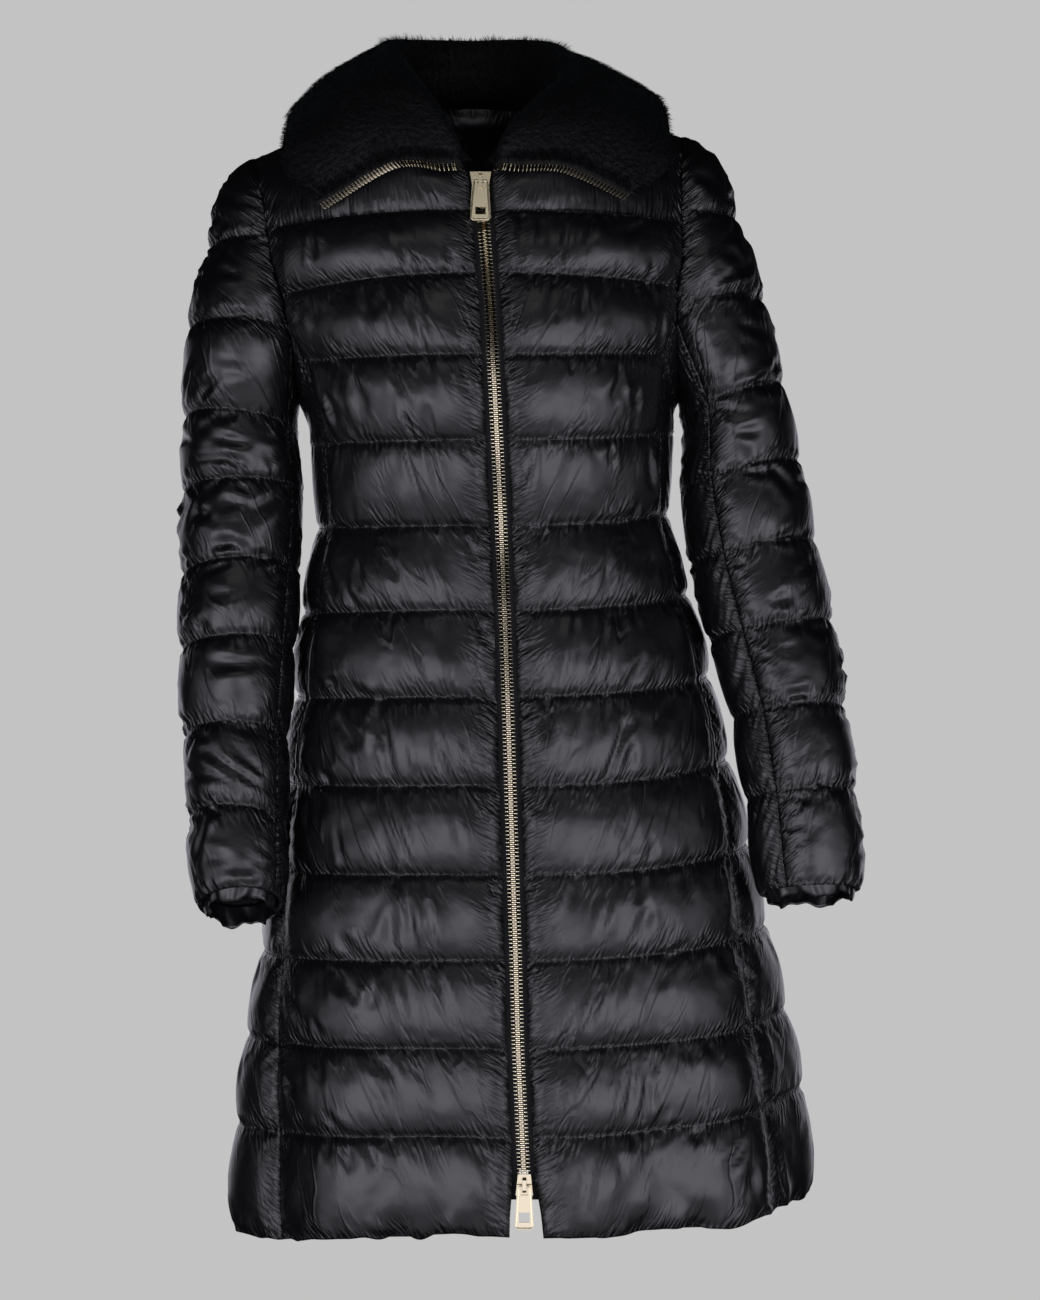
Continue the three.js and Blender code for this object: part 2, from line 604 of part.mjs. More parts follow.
// Interpolates the armhole angles where sleeve rows start: levels 0, 1, 2 and seamLevel
function sleeveStart(name, isFront, level) {
  const arc = isFront ? armholes[name].frontArc : armholes[name].backArc;
  const i = Math.min(2, Math.floor(level));
  const span = i === 2 ? seamLevel - 2 : 1;
  return arc[i] + (arc[i + 1] - arc[i]) * (level - i) / span;
}

// How far round the ring the upper sleeve reaches, as an angle from its outer side
const capWrap = 80;        // at the first quilting line
function sleeveWrap(name, isFront, level) {
  const full = isFront ? sleeves[name].frontSeam : sleeves[name].backSeam;
  return capWrap + (full - capWrap) * clamp((level - 1) / (seamLevel - 1), 0, 1);
}

// The edge of the upper sleeve: along the armhole, then down the sleeve seam
function sleeveEdge(name, isFront, level) {
  const way = isFront ? 1 : -1;
  if (level <= seamLevel) return armholePoint(armholes[name], way * sleeveStart(name, isFront, level));
  const seam = (at) => sleevePoint(name, at, way * sleeveWrap(name, isFront, at));
  const start = armholePoint(armholes[name], way * sleeveStart(name, isFront, seamLevel));
  return add(seam(level), sub(start, seam(seamLevel)), 1 - ease((level - seamLevel) / 0.8));
}

function sleeveEdgeNormal(name, isFront, level) {
  const way = isFront ? 1 : -1;
  const hole = armholes[name];
  const onHole = armholeNormal(hole, way * sleeveStart(name, isFront, Math.min(level, seamLevel)));
  if (level <= seamLevel) return onHole;
  const wrap = way * sleeveWrap(name, isFront, level);
  const down = sub(sleevePoint(name, Math.min(level + 0.1, cuffLevel), wrap),
    sleevePoint(name, level - 0.1, wrap));
  const round = sub(sleevePoint(name, level, wrap + 2), sleevePoint(name, level, wrap - 2));
  const n = unit(cross(down, round).map((v) => -v * hole.side));
  return unit(mix(onHole, n, ease((level - seamLevel) / 0.5)));
}

const capRound = 0.65;     // how round the top of the sleeve is, 0 is a straight slope
const upperColumns = [0, 0.09, 0.22, 0.36, 0.5, 0.64, 0.78, 0.91, 1];
function upperSleeve(name) {
  const hole = armholes[name];
  const levels = levelsBetween(0, cuffLevel);
  const ringRow = (level) => {
    const front = sleeveWrap(name, true, level);
    const back = sleeveWrap(name, false, level);
    return pinEnds(upperColumns.map((s) => sleevePoint(name, level, front - (front + back) * s)),
      sleeveEdge(name, true, level), sleeveEdge(name, false, level));
  };
  const capRow = (s) => {
    const front = sleeveStart(name, true, 0);
    const back = sleeveStart(name, false, 0);
    return armholePoint(hole, front - (front + back) * s);
  };
  const grid = levels.map((level) => {
    if (level >= 1) return ringRow(level);
    const a = level * Math.PI / 2;
    const arc = ringRow(1).map((p, j) => {
      const top = capRow(upperColumns[j]);
      const out = capRound * Math.sin(a) + (1 - capRound) * level;
      const drop = capRound * (1 - Math.cos(a)) + (1 - capRound) * level;
      return [top[0] + (p[0] - top[0]) * out, top[1] + (p[1] - top[1]) * level, top[2] + (p[2] - top[2]) * drop];
    });
    return level === 0 ? arc : pinEnds(arc, sleeveEdge(name, true, level), sleeveEdge(name, false, level));
  });
  const normals = gridNormals(grid, hole.side);
  const last = upperColumns.length - 1;
  levels.forEach((level, i) => {
    normals[i][0] = sleeveEdgeNormal(name, true, level);
    normals[i][last] = sleeveEdgeNormal(name, false, level);
  });
  const start = sleeveStart(name, true, 0);
  normals[0] = upperColumns.map((s) => armholeNormal(hole, start - (start + sleeveStart(name, false, 0)) * s));
  return quiltedPanel({ base: openSeams(grid, normals, levels, hole.side, hole.side, hole.side), normals, levels,
    columns: upperColumns,
    height: () => sleevePuff, innerColumns: [0, 1, 2, 3, 4, 5, 6, 7, last] });
}

const underColumns = [0, 0.2, 0.4, 0.6, 0.8, 1];
function underSleeve(name) {
  const hole = armholes[name];
  const levels = levelsBetween(seamLevel, cuffLevel);
  const joinLevel = 3;
  const holeFront = sleeveStart(name, true, seamLevel);
  const holeBack = 360 - sleeveStart(name, false, seamLevel);
  const ringRow = (level) => {
    const front = sleeveWrap(name, true, level);
    const back = 360 - sleeveWrap(name, false, level);
    return underColumns.map((s) => sleevePoint(name, level, front + (back - front) * s));
  };
  const grid = levels.map((level) => {
    const share = (level - seamLevel) / (joinLevel - seamLevel);
    const raw = share >= 1 ? ringRow(level) : ringRow(joinLevel).map((p, j) =>
      mix(armholePoint(hole, holeFront + (holeBack - holeFront) * underColumns[j]), p, share));
    return pinEnds(raw, sleeveEdge(name, true, level), sleeveEdge(name, false, level));
  });
  const normals = gridNormals(grid, -hole.side);
  const last = underColumns.length - 1;
  levels.forEach((level, i) => {
    normals[i][0] = sleeveEdgeNormal(name, true, level);
    normals[i][last] = sleeveEdgeNormal(name, false, level);
  });
  normals[0] = underColumns.map((s) => armholeNormal(hole, holeFront + (holeBack - holeFront) * s));
  const besideBody = (level) => ease((level - 3.2) / 3.2);
  return quiltedPanel({ base: openSeams(grid, normals, levels, 0, 0, hole.side), normals, levels, columns: underColumns,
    height: (level) => 0.8 * sleevePuff * besideBody(level), innerColumns: [0, 1, 2, 3, 4, last] });
}

// The panels' corners on the neckline, as angles rising from the right front round the back
function neckStops() {
  const shares = (columns, neckShare) => columns.filter((v) => v <= neckShare).map((v) => v / neckShare);
  const turn = neck.shoulderAngle;
  const front = (from) => shares(frontColumns, frontNeckShare).map((v) => from + (turn - from) * v);
  const back = shares(backHalf, backNeckShare).map((v) => 180 - (180 - turn) * v);
  const right = [...front(-zipNeckAngle('right')), ...back.reverse().slice(1)];
  const left = [...front(zipNeckAngle('left')), ...back.slice(1)];
  return [...right.map((v) => -v), ...left.map((v) => v - 360).reverse().slice(1)];
}

// A value on the straight stretch between two of those corners
function onNeckline(make, degrees) {
  const stops = neckStops();
  const found = stops.findIndex((v) => v <= degrees);
  const at = found < 0 ? stops.length - 1 : Math.max(found, 1);
  return mix(make(stops[at - 1]), make(stops[at]), (degrees - stops[at - 1]) / (stops[at] - stops[at - 1]));
}

// Collar: one path for each station, from the neckline over the roll to the outer edge
const collarPathSteps = [0, 0.6, 1, 1.5, 2, 2.5, 3, 3.5, 4, 4.5, 5];
function collarPath(station) {
  const row = {};
  collarColumns.forEach((name, i) => {
    row[name] = through(unwrapped(i), station);
  });
  const start = add(add(onNeckline(neckPoint, row.neckAngle), neckTangent(row.neckAngle), collarLift),
    unit(onNeckline(neckNormal, row.neckAngle)), -collarWall);
  const roll = [row.rollX, row.rollY, row.rollZ];
  const outward = unit([roll[0] - neck.middleX, roll[1] - neck.middleY, 0]);
  const before = add(add(roll, outward, -rollRadius * rollShape.inside * row.stand), [0, 0, -rollRadius * row.stand]);
  const after = add(add(roll, outward, rollRadius * rollShape.outside * row.stand),
    [0, 0, -rollRadius * rollShape.drop * row.stand]);
  const flatBefore = mix(start, roll, rollShape.before);
  const flatAfter = mix(roll, [row.midX, row.midY, row.midZ], rollShape.after);
  const points = [start, mix(flatBefore, before, row.stand), roll, mix(flatAfter, after, row.stand),
    [row.midX, row.midY, row.midZ], [row.edgeX, row.edgeY, row.edgeZ]];
  return collarPathSteps.map((t) => [0, 1, 2].map((axis) => through(points.map((p) => p[axis]), t)));
}

// A column of the collar table, with its neck angles running on past the back
function unwrapped(i) {
  return collarRows.map((r) => (i === 0 && r[0] > 0 ? r[0] - 360 : r[i]));
}

function neckTangent(degrees) {
  const s = Math.sin(rad(degrees));
  const c = Math.cos(rad(degrees));
  const rise = neckRise(degrees);
  return [-s * Math.sin(rise), c * Math.sin(rise), Math.cos(rise)];
}

const stationCount = 36;
function collarGrid() {
  const grid = [];
  for (let i = 0; i <= stationCount; i += 1) {
    grid.push(collarPath(i * (collarRows.length - 1) / stationCount));
  }
  return grid;
}

function collarPieces() {
  const grid = collarGrid();
  const normals = gridNormals(grid, 1);
  grid.forEach((row, i) => {
    const station = i * (collarRows.length - 1) / stationCount;
    normals[i][0] = unit(onNeckline(neckNormal, through(unwrapped(0), station))).map((v) => -v);
  });
  const lift = (distance) => grid.map((row, i) => row.map((p, j) => add(p, normals[i][j], distance)));
  const shell = wallGeometry(lift(0), lift(-collarWall));
  const furBase = lift(seamGap);
  const furTop = grid.map((row, i) => row.map((p, j) => {
    const fromEnd = Math.min(j, row.length - 1 - j, i, grid.length - 1 - i);
    const height = furThickness * (fromEnd === 0 ? 0.35 : 1);
    return add(p, normals[i][j], seamGap + height);
  }));
  const fur = wallGeometry(furTop, furBase);
  const front = { right: [grid[0], normals[0], grid[1]],
    left: [grid[stationCount], normals[stationCount], grid[stationCount - 1]] };
  const strips = Object.fromEntries(Object.entries(front).map(([name, [path, normal, next]]) => {
    const away = path.map((p, j) => unit(sub(p, next[j])));
    const rows = (offset, height) => path.map((p, j) => add(add(p, away[j], offset), normal[j], height))
      .slice(collarZipStart);
    const rim = 2 * seamGap;
    const top = [rows(rim, 0), rows(collarZipWidth, 0)];
    const bottom = [rows(rim, -collarZipThickness), rows(collarZipWidth, -collarZipThickness)];
    return [name, wallGeometry(top, bottom)];
  }));
  return { shell, fur, strips };
}

// Zip chain and tapes follow the middle of the front at the quilting lines
function zipLevels(fromZ, toZ) {
  const find = (z) => {
    let low = 0;
    let high = hemLevel;
    for (let i = 0; i < 40; i += 1) {
      const middle = (low + high) / 2;
      if (zipPoint(middle)[2] > z) low = middle;
      else high = middle;
    }
    return low;
  };
  const first = find(fromZ);
  const last = find(toZ);
  const levels = [first];
  for (let level = Math.ceil(first + 0.1); level < last - 0.1; level += 1) levels.push(level);
  return [...levels, last];
}

function zipFrame(level) {
  const d = 0.02;
  const down = sub(zipPoint(Math.min(level + d, hemLevel)), zipPoint(Math.max(level - d, 0)));
  const normal = unit(cross(down, [1, 0, 0]).map((v) => -v));
  const facing = normal[1] < 0 ? normal : normal.map((v) => -v);
  return { p: zipPoint(level), normal: facing, down: unit(down) };
}

function zipStrip(levels, fromX, toX, depth, thickness) {
  const row = (level, offset) => {
    const { p, normal } = zipFrame(level);
    return [fromX, toX].map((x) => add([p[0] + x, p[1], p[2]], normal, -offset));
  };
  const outer = levels.map((level) => row(level, depth));
  const inner = levels.map((level) => row(level, depth + thickness));
  return wallGeometry(outer, inner);
}

// Sliders and pull tabs: joined from simple solids in their own frame, x across, y out, z up the zip
const wasm = await Module();
wasm.setup();

function toSolid(geometry) {
  const plain = geometry.clone();
  plain.deleteAttribute('normal');
  plain.deleteAttribute('uv');
  const merged = mergeVertices(plain.index ? plain : mergeVertices(plain), 1e-4);
  return new wasm.Manifold(new wasm.Mesh({ numProp: 3,
    vertProperties: new Float32Array(merged.attributes.position.array),
    triVerts: new Uint32Array(merged.index.array) }));
}

function fromSolid(solid) {
  const mesh = solid.getMesh();
  const geometry = new THREE.BufferGeometry();
  geometry.setAttribute('position', new THREE.BufferAttribute(new Float32Array(mesh.vertProperties), 3));
  geometry.setIndex(new THREE.BufferAttribute(new Uint32Array(mesh.triVerts), 1));
  geometry.computeVertexNormals();
  return geometry;
}

// A flat plate from an outline in x and z, with y from back to front
function plate(outline, back, front, holes = []) {
  const shape = new THREE.Shape(outline.map(([x, z]) => new THREE.Vector2(x, z)));
  holes.forEach((hole) => shape.holes.push(new THREE.Path(hole.map(([x, z]) => new THREE.Vector2(x, z)))));
  const geometry = new THREE.ExtrudeGeometry(shape, { depth: front - back, bevelEnabled: false });
  geometry.rotateX(Math.PI / 2);
  geometry.translate(0, -back, 0);
  return geometry;
}

const slider = { plateBack: -0.9, plateFront: 1.1, archWidth: 3.2, archHalf: 6, archRise: 4, archThickness: 1.3,
  flangeDepth: 2.6, flangeThickness: 1.4 };
const tab = { axisOut: 2.6, barRadius: 0.75, thickness: 1.5, windowHalf: 2.9, windowLength: 8.2, top: 0.2,
  corner: 2.5, through: 2 };

function sliderSolid(wide, narrow, tall) {
  const h = tall / 2;
  const face = toSolid(plate([[-wide, h], [wide, h], [narrow, -h], [-narrow, -h]], slider.plateBack,
    slider.plateFront));
  const flange = (side) => {
    const t = slider.flangeThickness;
    const outline = [[wide, h], [wide - t, h], [narrow - t, -h], [narrow, -h]].map(([x, z]) => [side * x, z]);
    return toSolid(plate(side > 0 ? outline.reverse() : outline, slider.plateBack - slider.flangeDepth,
      slider.plateBack + 0.2));
  };
  const low = slider.plateFront - 0.3;
  const high = low + 0.3 + slider.archRise;
  const t = slider.archThickness;
  const a = slider.archHalf;
  const arch = new THREE.Shape([[-a, low], [-a + t, low], [-a + t, high - 2 * t], [-a + 2 * t, high - t],
    [a - 2 * t, high - t], [a - t, high - 2 * t], [a - t, low], [a, low], [a, high - 1.5 * t], [a - 1.5 * t, high],
    [-a + 1.5 * t, high], [-a, high - 1.5 * t]].map(([z, y]) => new THREE.Vector2(y, z)));
  const archGeometry = new THREE.ExtrudeGeometry(arch, { depth: slider.archWidth, bevelEnabled: false });
  archGeometry.translate(0, 0, -slider.archWidth / 2);
  archGeometry.applyMatrix4(new THREE.Matrix4().makeBasis(new THREE.Vector3(0, -1, 0),
    new THREE.Vector3(0, 0, 1), new THREE.Vector3(-1, 0, 0)));
  return fromSolid(face.add(flange(1)).add(flange(-1)).add(toSolid(archGeometry)));
}

// The pull tab hangs from a round bar on its axis, through the slider's arch
function tabSolid(topHalf, bottomHalf, holeHalf, holeTop, holeBottom) {
  const back = tab.axisOut - tab.thickness / 2;
  const front = tab.axisOut + tab.thickness / 2;
  const w = tab.windowHalf;
  const { top, corner } = tab;
  const end = -tabLength;
  const outline = [[-topHalf, top], [topHalf, top], [bottomHalf, end + corner], [bottomHalf - corner, end],
    [-bottomHalf + corner, end], [-bottomHalf, end + corner]];
  const over = top + tab.through;
  const window = [[-w, over], [-w, -tab.windowLength], [w, -tab.windowLength], [w, over]];
  const hole = [[-holeHalf, holeTop], [-holeHalf, holeBottom], [holeHalf, holeBottom], [holeHalf, holeTop]];
  const body = toSolid(plate(outline, back, front, [hole]))
    .subtract(toSolid(plate(window, back - tab.through, front + tab.through)));
  const bar = new THREE.CylinderGeometry(tab.barRadius, tab.barRadius, 2 * topHalf, 10);
  bar.rotateZ(Math.PI / 2);
  bar.translate(0, -tab.axisOut, 0);
  return fromSolid(body.add(toSolid(bar)));
}

// Finishes
const shell = new THREE.MeshStandardMaterial({ color: 0x121214, roughness: 0.35, metalness: 0 });
const fur = new THREE.MeshStandardMaterial({ color: 0x08080a, roughness: 0.8, metalness: 0 });
const tape = new THREE.MeshStandardMaterial({ color: 0x0c0c0d, roughness: 0.85, metalness: 0 });
const metal = new THREE.MeshStandardMaterial({ color: 0xc9b48e, roughness: 0.3, metalness: 1 });

const coat = new THREE.Group();
coat.name = 'coat';

function place(name, geometry, material) {
  const mesh = new THREE.Mesh(geometry, material);
  mesh.name = name;
  coat.add(mesh);
  return mesh;
}

place('back', backPanel(), shell);
['left', 'right'].forEach((name) => {
  place(`front_${name}`, frontPanel(name), shell);
  place(`side_${name}`, sidePanel(name), shell);
  place(`sleeve_upper_${name}`, upperSleeve(name), shell);
  place(`sleeve_under_${name}`, underSleeve(name), shell);
});

const collar = collarPieces();
place('collar_shell', collar.shell, shell);
place('collar_fur', collar.fur, fur);
place('zip_collar_left', collar.strips.left, metal);
place('zip_collar_right', collar.strips.right, metal);

const chainLevels = zipLevels(chainTopZ, chainBottomZ);
const tapeLevels = zipLevels(neck.frontZ - 1.5, bottomSliderZ - 14);
place('zip_chain', zipStrip(chainLevels, -chainWidth / 2, chainWidth / 2, chainDepth, chainThickness), metal);
const tapeStart = chainWidth / 2 + seamGap;
place('zip_tape_left', zipStrip(tapeLevels, tapeStart, tapeStart + tapeWidth, tapeDepth, tapeThickness), tape);
place('zip_tape_right', zipStrip(tapeLevels, -tapeStart - tapeWidth, -tapeStart, tapeDepth, tapeThickness), tape);

// A slider and its tab, standing on the zip at a height; up is -1 for the one that closes downwards
function placeSlider(suffix, z, up, sizes) {
  const { p, down } = zipFrame(zipLevels(z, bottomSliderZ - 20)[0]);
  const lean = Math.atan2(down[1], -down[2]);
  const body = place(`slider_${suffix}`, sliderSolid(sizes.wide, sizes.narrow, sizes.tall), metal);
  body.position.set(...p);
  body.rotation.x = lean;
  if (up < 0) body.geometry.rotateY(Math.PI);
  const pull = place(`pull_tab_${suffix}`, tabSolid(sizes.tabTop, sizes.tabBottom, sizes.holeHalf,
    sizes.holeTop, sizes.holeBottom), metal);
  pull.position.set(...p);
  pull.rotation.x = lean;
}

placeSlider('top', topSliderZ, 1, { wide: 8.7, narrow: 6, tall: 17, tabTop: 6.6, tabBottom: 8.5,
  holeHalf: 4.2, holeTop: -24, holeBottom: -30.5 });
placeSlider('bottom', bottomSliderZ, -1, { wide: 7, narrow: 5.2, tall: 17, tabTop: 5.7, tabBottom: 7.6,
  holeHalf: 4.4, holeTop: -22, holeBottom: -30 });

export default coat;
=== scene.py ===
import math

import bpy
import numpy as np
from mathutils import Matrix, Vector


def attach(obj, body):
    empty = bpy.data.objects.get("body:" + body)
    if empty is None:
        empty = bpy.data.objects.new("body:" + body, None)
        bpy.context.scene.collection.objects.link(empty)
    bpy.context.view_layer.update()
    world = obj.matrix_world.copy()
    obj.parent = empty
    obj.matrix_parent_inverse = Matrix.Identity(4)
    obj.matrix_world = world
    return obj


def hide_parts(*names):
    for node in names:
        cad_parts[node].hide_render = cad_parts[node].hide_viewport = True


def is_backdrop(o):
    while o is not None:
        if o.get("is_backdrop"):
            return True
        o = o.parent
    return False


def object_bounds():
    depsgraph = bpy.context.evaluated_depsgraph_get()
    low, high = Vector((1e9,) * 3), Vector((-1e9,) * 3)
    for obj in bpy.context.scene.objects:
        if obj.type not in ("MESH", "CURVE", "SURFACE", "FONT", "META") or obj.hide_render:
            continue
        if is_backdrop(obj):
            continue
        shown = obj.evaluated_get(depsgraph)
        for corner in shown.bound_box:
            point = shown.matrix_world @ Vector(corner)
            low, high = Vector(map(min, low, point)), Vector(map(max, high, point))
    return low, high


# Long quilted winter coat with a folded fur collar and a metal zip, worn and zipped.
# Sizes are in millimetres in the frame of the coat: +Z up, the front faces -Y, +X is the wearer's left.

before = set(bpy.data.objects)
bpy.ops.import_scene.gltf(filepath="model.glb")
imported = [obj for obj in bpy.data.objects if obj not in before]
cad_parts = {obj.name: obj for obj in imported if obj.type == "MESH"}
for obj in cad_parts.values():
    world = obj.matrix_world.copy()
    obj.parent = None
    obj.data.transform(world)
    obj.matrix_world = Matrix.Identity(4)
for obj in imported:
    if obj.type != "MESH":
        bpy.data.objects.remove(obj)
size = [list(corner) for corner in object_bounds()]
print("frame loaded", size)

# Cloth and quilting
cloth = {
    "wall": 3, "seamGap": 0.3, "bodyPuff": 7.5, "sleevePuff": 5.5, "seamValley": 18, "roundness": 2.25,
    "rowsPerChannel": 24, "columnPitch": 2.7, "innerStep": 6,
}

# Body rings, one row for each quilting line from the neck down, the last one is the hem
bodyColumns = "front right left back middleX halfWidth frontDepth backDepth seamRight seamLeft seamBack"
bodyRows = [
    [-91, -104, -98, -96, 6, 188, 106, 92, 60, 66, 50],
    [-143, -158, -151, -152, 10, 176, 122, 106, 58, 66, 50],
    [-209, -213, -205, -212, 16, 161, 134, 112, 63.5, 64.5, 50],
    [-278, -283, -273, -282, 20, 153, 132, 108, 62.5, 65, 48],
    [-348, -353, -341, -352, 21, 147, 120, 101, 67.5, 72, 46],
    [-417, -424, -409, -422, 23, 161, 127, 112, 66.5, 71.5, 44],
    [-487, -495, -479, -492, 29, 173, 136, 124, 69.5, 70.5, 42],
    [-559, -567, -549, -564, 33, 185, 143, 134, 71, 69.5, 41],
    [-631, -640, -621, -636, 36, 200, 150, 142, 67, 64.5, 40],
    [-700, -711, -691, -706, 38.5, 212, 157, 150, 63.5, 61.5, 40],
    [-771, -781, -762, -777, 40, 226, 164, 157, 59.5, 58.7, 40],
    [-842, -855, -829, -850, 42, 236, 170, 164, 56.5, 58.7, 40],
    [-922, -946, -918, -938, 44, 243, 176, 170, 54.5, 58.5, 40],
]
hemLevel = len(bodyRows)
hemWaves = {"count": 9, "height": 5, "phase": 0.6, "fromLevel": 9}

# Middle of the zip from the front, by height
zipLine = [[-40, 10], [-60, 11], [-172, 20], [-250, 24], [-335, 28], [-420, 31.5], [-490, 34], [-700, 40.5],
           [-771, 42.4], [-870, 47], [-940, 50]]
zipSizes = {"gap": 8.75, "neckGap": 10.6, "chainWidth": 10.1, "chainDepth": 2.1, "pitch": 3.14,
            "topZ": -76.9, "bottomZ": -871.2, "ventLevel": 12.3, "ventOpening": 5}
neck = {"middleX": 5, "middleY": -17, "halfWidth": 72, "frontDepth": 80, "backDepth": 80, "frontZ": -58,
        "sideZ": 0, "backZ": 8, "shoulderAngle": 100}

# Armholes: side is the direction from the middle, x follows the armhole down from the shoulder tip,
# and the arcs are where the sleeve's quilting lines start
armholes = {
    "right": {"side": -1, "tipZ": -41, "bottomZ": -246, "tipY": 3, "frontDepth": 63, "backDepth": 58,
              "x": [[-41, -179], [-82, -170], [-119, -164], [-141, -159],
                    [-165, -152], [-200, -146], [-246, -143]],
              "frontArc": [32, 70, 113, 122], "backArc": [32, 85, 127, 138]},
    "left": {"side": 1, "tipZ": -23, "bottomZ": -246, "tipY": 3, "frontDepth": 63, "backDepth": 58,
             "x": [[-23, 180], [-45, 179], [-128, 178], [-147, 175], [-165, 174], [-200, 175], [-246, 178]],
             "frontArc": [32, 66, 105, 114], "backArc": [32, 75, 114, 123]},
}
seamLevel = 2.2

# Sleeve rings, one row for each quilting line, the last one is the cuff
sleeveColumns = "outerX outerZ innerX innerZ y halfDepth tilt"
sleeves = {
    "right": {"frontSeam": 150, "backSeam": 130, "rows": [
        [-230, -119, -132, -122, -2, 60, 13], [-238, -189, -138, -196, -4, 61, 13],
        [-237.5, -261, -144, -272, -8, 60, 13], [-238.7, -323, -140, -322, -16, 57, 14],
        [-238.3, -393, -143, -386, -30, 54, 16], [-237.6, -456, -147, -451, -48, 50, 18],
        [-233, -525.6, -151.5, -525, -66, 47, 21], [-228.3, -592, -151.5, -597, -85, 45, 24],
        [-221.6, -663, -151.5, -659, -105, 42, 27]]},
    "left": {"frontSeam": 122, "backSeam": 130, "rows": [
        [232.7, -94, 136, -102, -2, 60, 8], [251.5, -164, 156, -180, -4, 61, 8],
        [264, -232, 180, -262, -8, 60, 9], [277.7, -297, 180, -322, -14, 57, 10],
        [290.7, -364, 189, -384, -25, 54, 11], [303.5, -431, 205, -447, -38, 51, 12],
        [313, -502, 223.6, -511, -52, 48, 13], [321.6, -570.6, 234.5, -578.5, -66, 46, 14],
        [327, -652, 243.5, -656, -80, 43, 15]]},
}
cuffLevel = 9

# Collar, from the front edge on the wearer's right round the back
collarColumns = "neckAngle stand rollX rollY rollZ midX midY midZ edgeX edgeY edgeZ"
collarRows = [
    [-5, 0, -8, -107, -50, -62, -107, -50, -124, -91, -84],
    [-24, 0.5, -20, -100, -22, -82, -96, -22, -147, -76, -56],
    [-50, 0.9, -40, -80, 8, -98, -66, 4, -152, -54, -36],
    [-80, 1, -62, -38, 38, -112, -24, 20, -149, -14, -12],
    [-112, 1, -66, 6, 52, -106, 14, 28, -140, 24, -4],
    [-146, 1, -42, 46, 57, -68, 68, 36, -94, 84, -16],
    [-180, 1, 3, 62, 58, 5, 86, 38, 7, 104, -20],
    [-214, 1, 46, 46, 57, 72, 68, 36, 100, 84, -16],
    [-248, 1, 75, 6, 48, 114, 12, 30, 148, 24, 4],
    [-280, 1, 84, -34, 24, 126, -26, 16, 164, -12, 0],
    [-310, 0.9, 64, -72, 0, 116, -64, -2, 168, -52, -28],
    [-336, 0.5, 42, -98, -24, 100, -92, -22, 168, -74, -52],
    [-346, 0, 30, -107, -50, 84, -106, -53, 140, -93, -78],
]
collarSizes = {"wall": 2.5, "lift": 1.1, "roll": 8, "stations": 150, "steps": 44}


# Arithmetic on arrays whose last axis is x, y, z
def power(v, e):
    return np.sign(v) * np.abs(v) ** e


def ease(v):
    t = np.clip(v, 0, 1)
    return t * t * (3 - 2 * t)


def unit(v):
    return v / np.maximum(np.linalg.norm(v, axis=-1, keepdims=True), 1e-9)


def mix(a, b, t):
    return a + (b - a) * t


def columnsOf(names, rows):
    return {name: np.array(values, float) for name, values in zip(names.split(), zip(*rows))}


# A smooth curve through the values at 0, 1, 2 and so on
def through(values, t):
    t = np.asarray(t, float)
    last = len(values) - 1
    i = np.clip(np.floor(t).astype(int), 0, last - 1)
    f = t - i
    b, c = values[i], values[i + 1]
    a = np.where(i > 0, values[np.maximum(i - 1, 0)], 2 * b - c)
    d = np.where(i < last - 1, values[np.minimum(i + 2, last)], 2 * c - b)
    return b + 0.5 * f * (c - a + f * (2 * a - 5 * b + 4 * c - d + f * (3 * (b - c) + d - a)))


# Straight lines through [height, value] pairs that go down
def along(pairs, z):
    pairs = np.array(pairs, float)
    return np.interp(-np.asarray(z, float), -pairs[:, 0], pairs[:, 1])


# Distance of each point of a line from its start, and values on the line at other distances
def runOf(points):
    return np.concatenate([[0], np.cumsum(np.linalg.norm(np.diff(points, axis=0), axis=1))])


def resample(at, run, values):
    return np.stack([np.interp(at, run, values[:, k]) for k in range(3)], -1)


body = columnsOf(bodyColumns, bodyRows)
sleeveTables = {name: columnsOf(sleeveColumns, sleeve["rows"]) for name, sleeve in sleeves.items()}


def bodyAt(column, level):
    return through(body[column], level - 1)


def bodyPoint(level, degrees):
    level, degrees = np.broadcast_arrays(level, degrees)
    a = np.radians(degrees)
    s, c = np.sin(a), np.cos(a)
    e = 2 / cloth["roundness"]
    grown = ease((level - hemWaves["fromLevel"]) / (hemLevel - hemWaves["fromLevel"]))
    wave = hemWaves["height"] * grown * np.sin(a * hemWaves["count"] + hemWaves["phase"])
    depth = np.where(c > 0, bodyAt("frontDepth", level), bodyAt("backDepth", level))
    z = (np.where(c > 0, bodyAt("front", level), bodyAt("back", level)) * c * c
         + np.where(s > 0, bodyAt("left", level), bodyAt("right", level)) * s * s)
    x = bodyAt("middleX", level) + (bodyAt("halfWidth", level) + wave) * power(s, e)
    return np.stack([x, -(depth + wave) * power(c, e), z], -1)


def zipAngle(level):
    share = (along(zipLine, bodyAt("front", level)) - bodyAt("middleX", level)) / bodyAt("halfWidth", level)
    return np.degrees(np.arcsin(power(share, cloth["roundness"] / 2)))


def neckPoint(degrees):
    a = np.radians(degrees)
    s, c = np.sin(a), np.cos(a)
    depth = np.where(c > 0, neck["frontDepth"], neck["backDepth"])
    end = np.where(c > 0, neck["frontZ"], neck["backZ"])
    return np.stack([neck["middleX"] + neck["halfWidth"] * s, neck["middleY"] - depth * c,
                     neck["sideZ"] + (end - neck["sideZ"]) * c * c], -1)


# The neckline's cloth faces forwards or back at the front and back, and mostly up at the side
def neckNormal(degrees):
    a = np.radians(degrees)
    rise = np.radians(30 + 45 * np.sin(a) ** 2)
    return np.stack([np.sin(a) * np.cos(rise), -np.cos(a) * np.cos(rise), np.sin(rise)], -1)


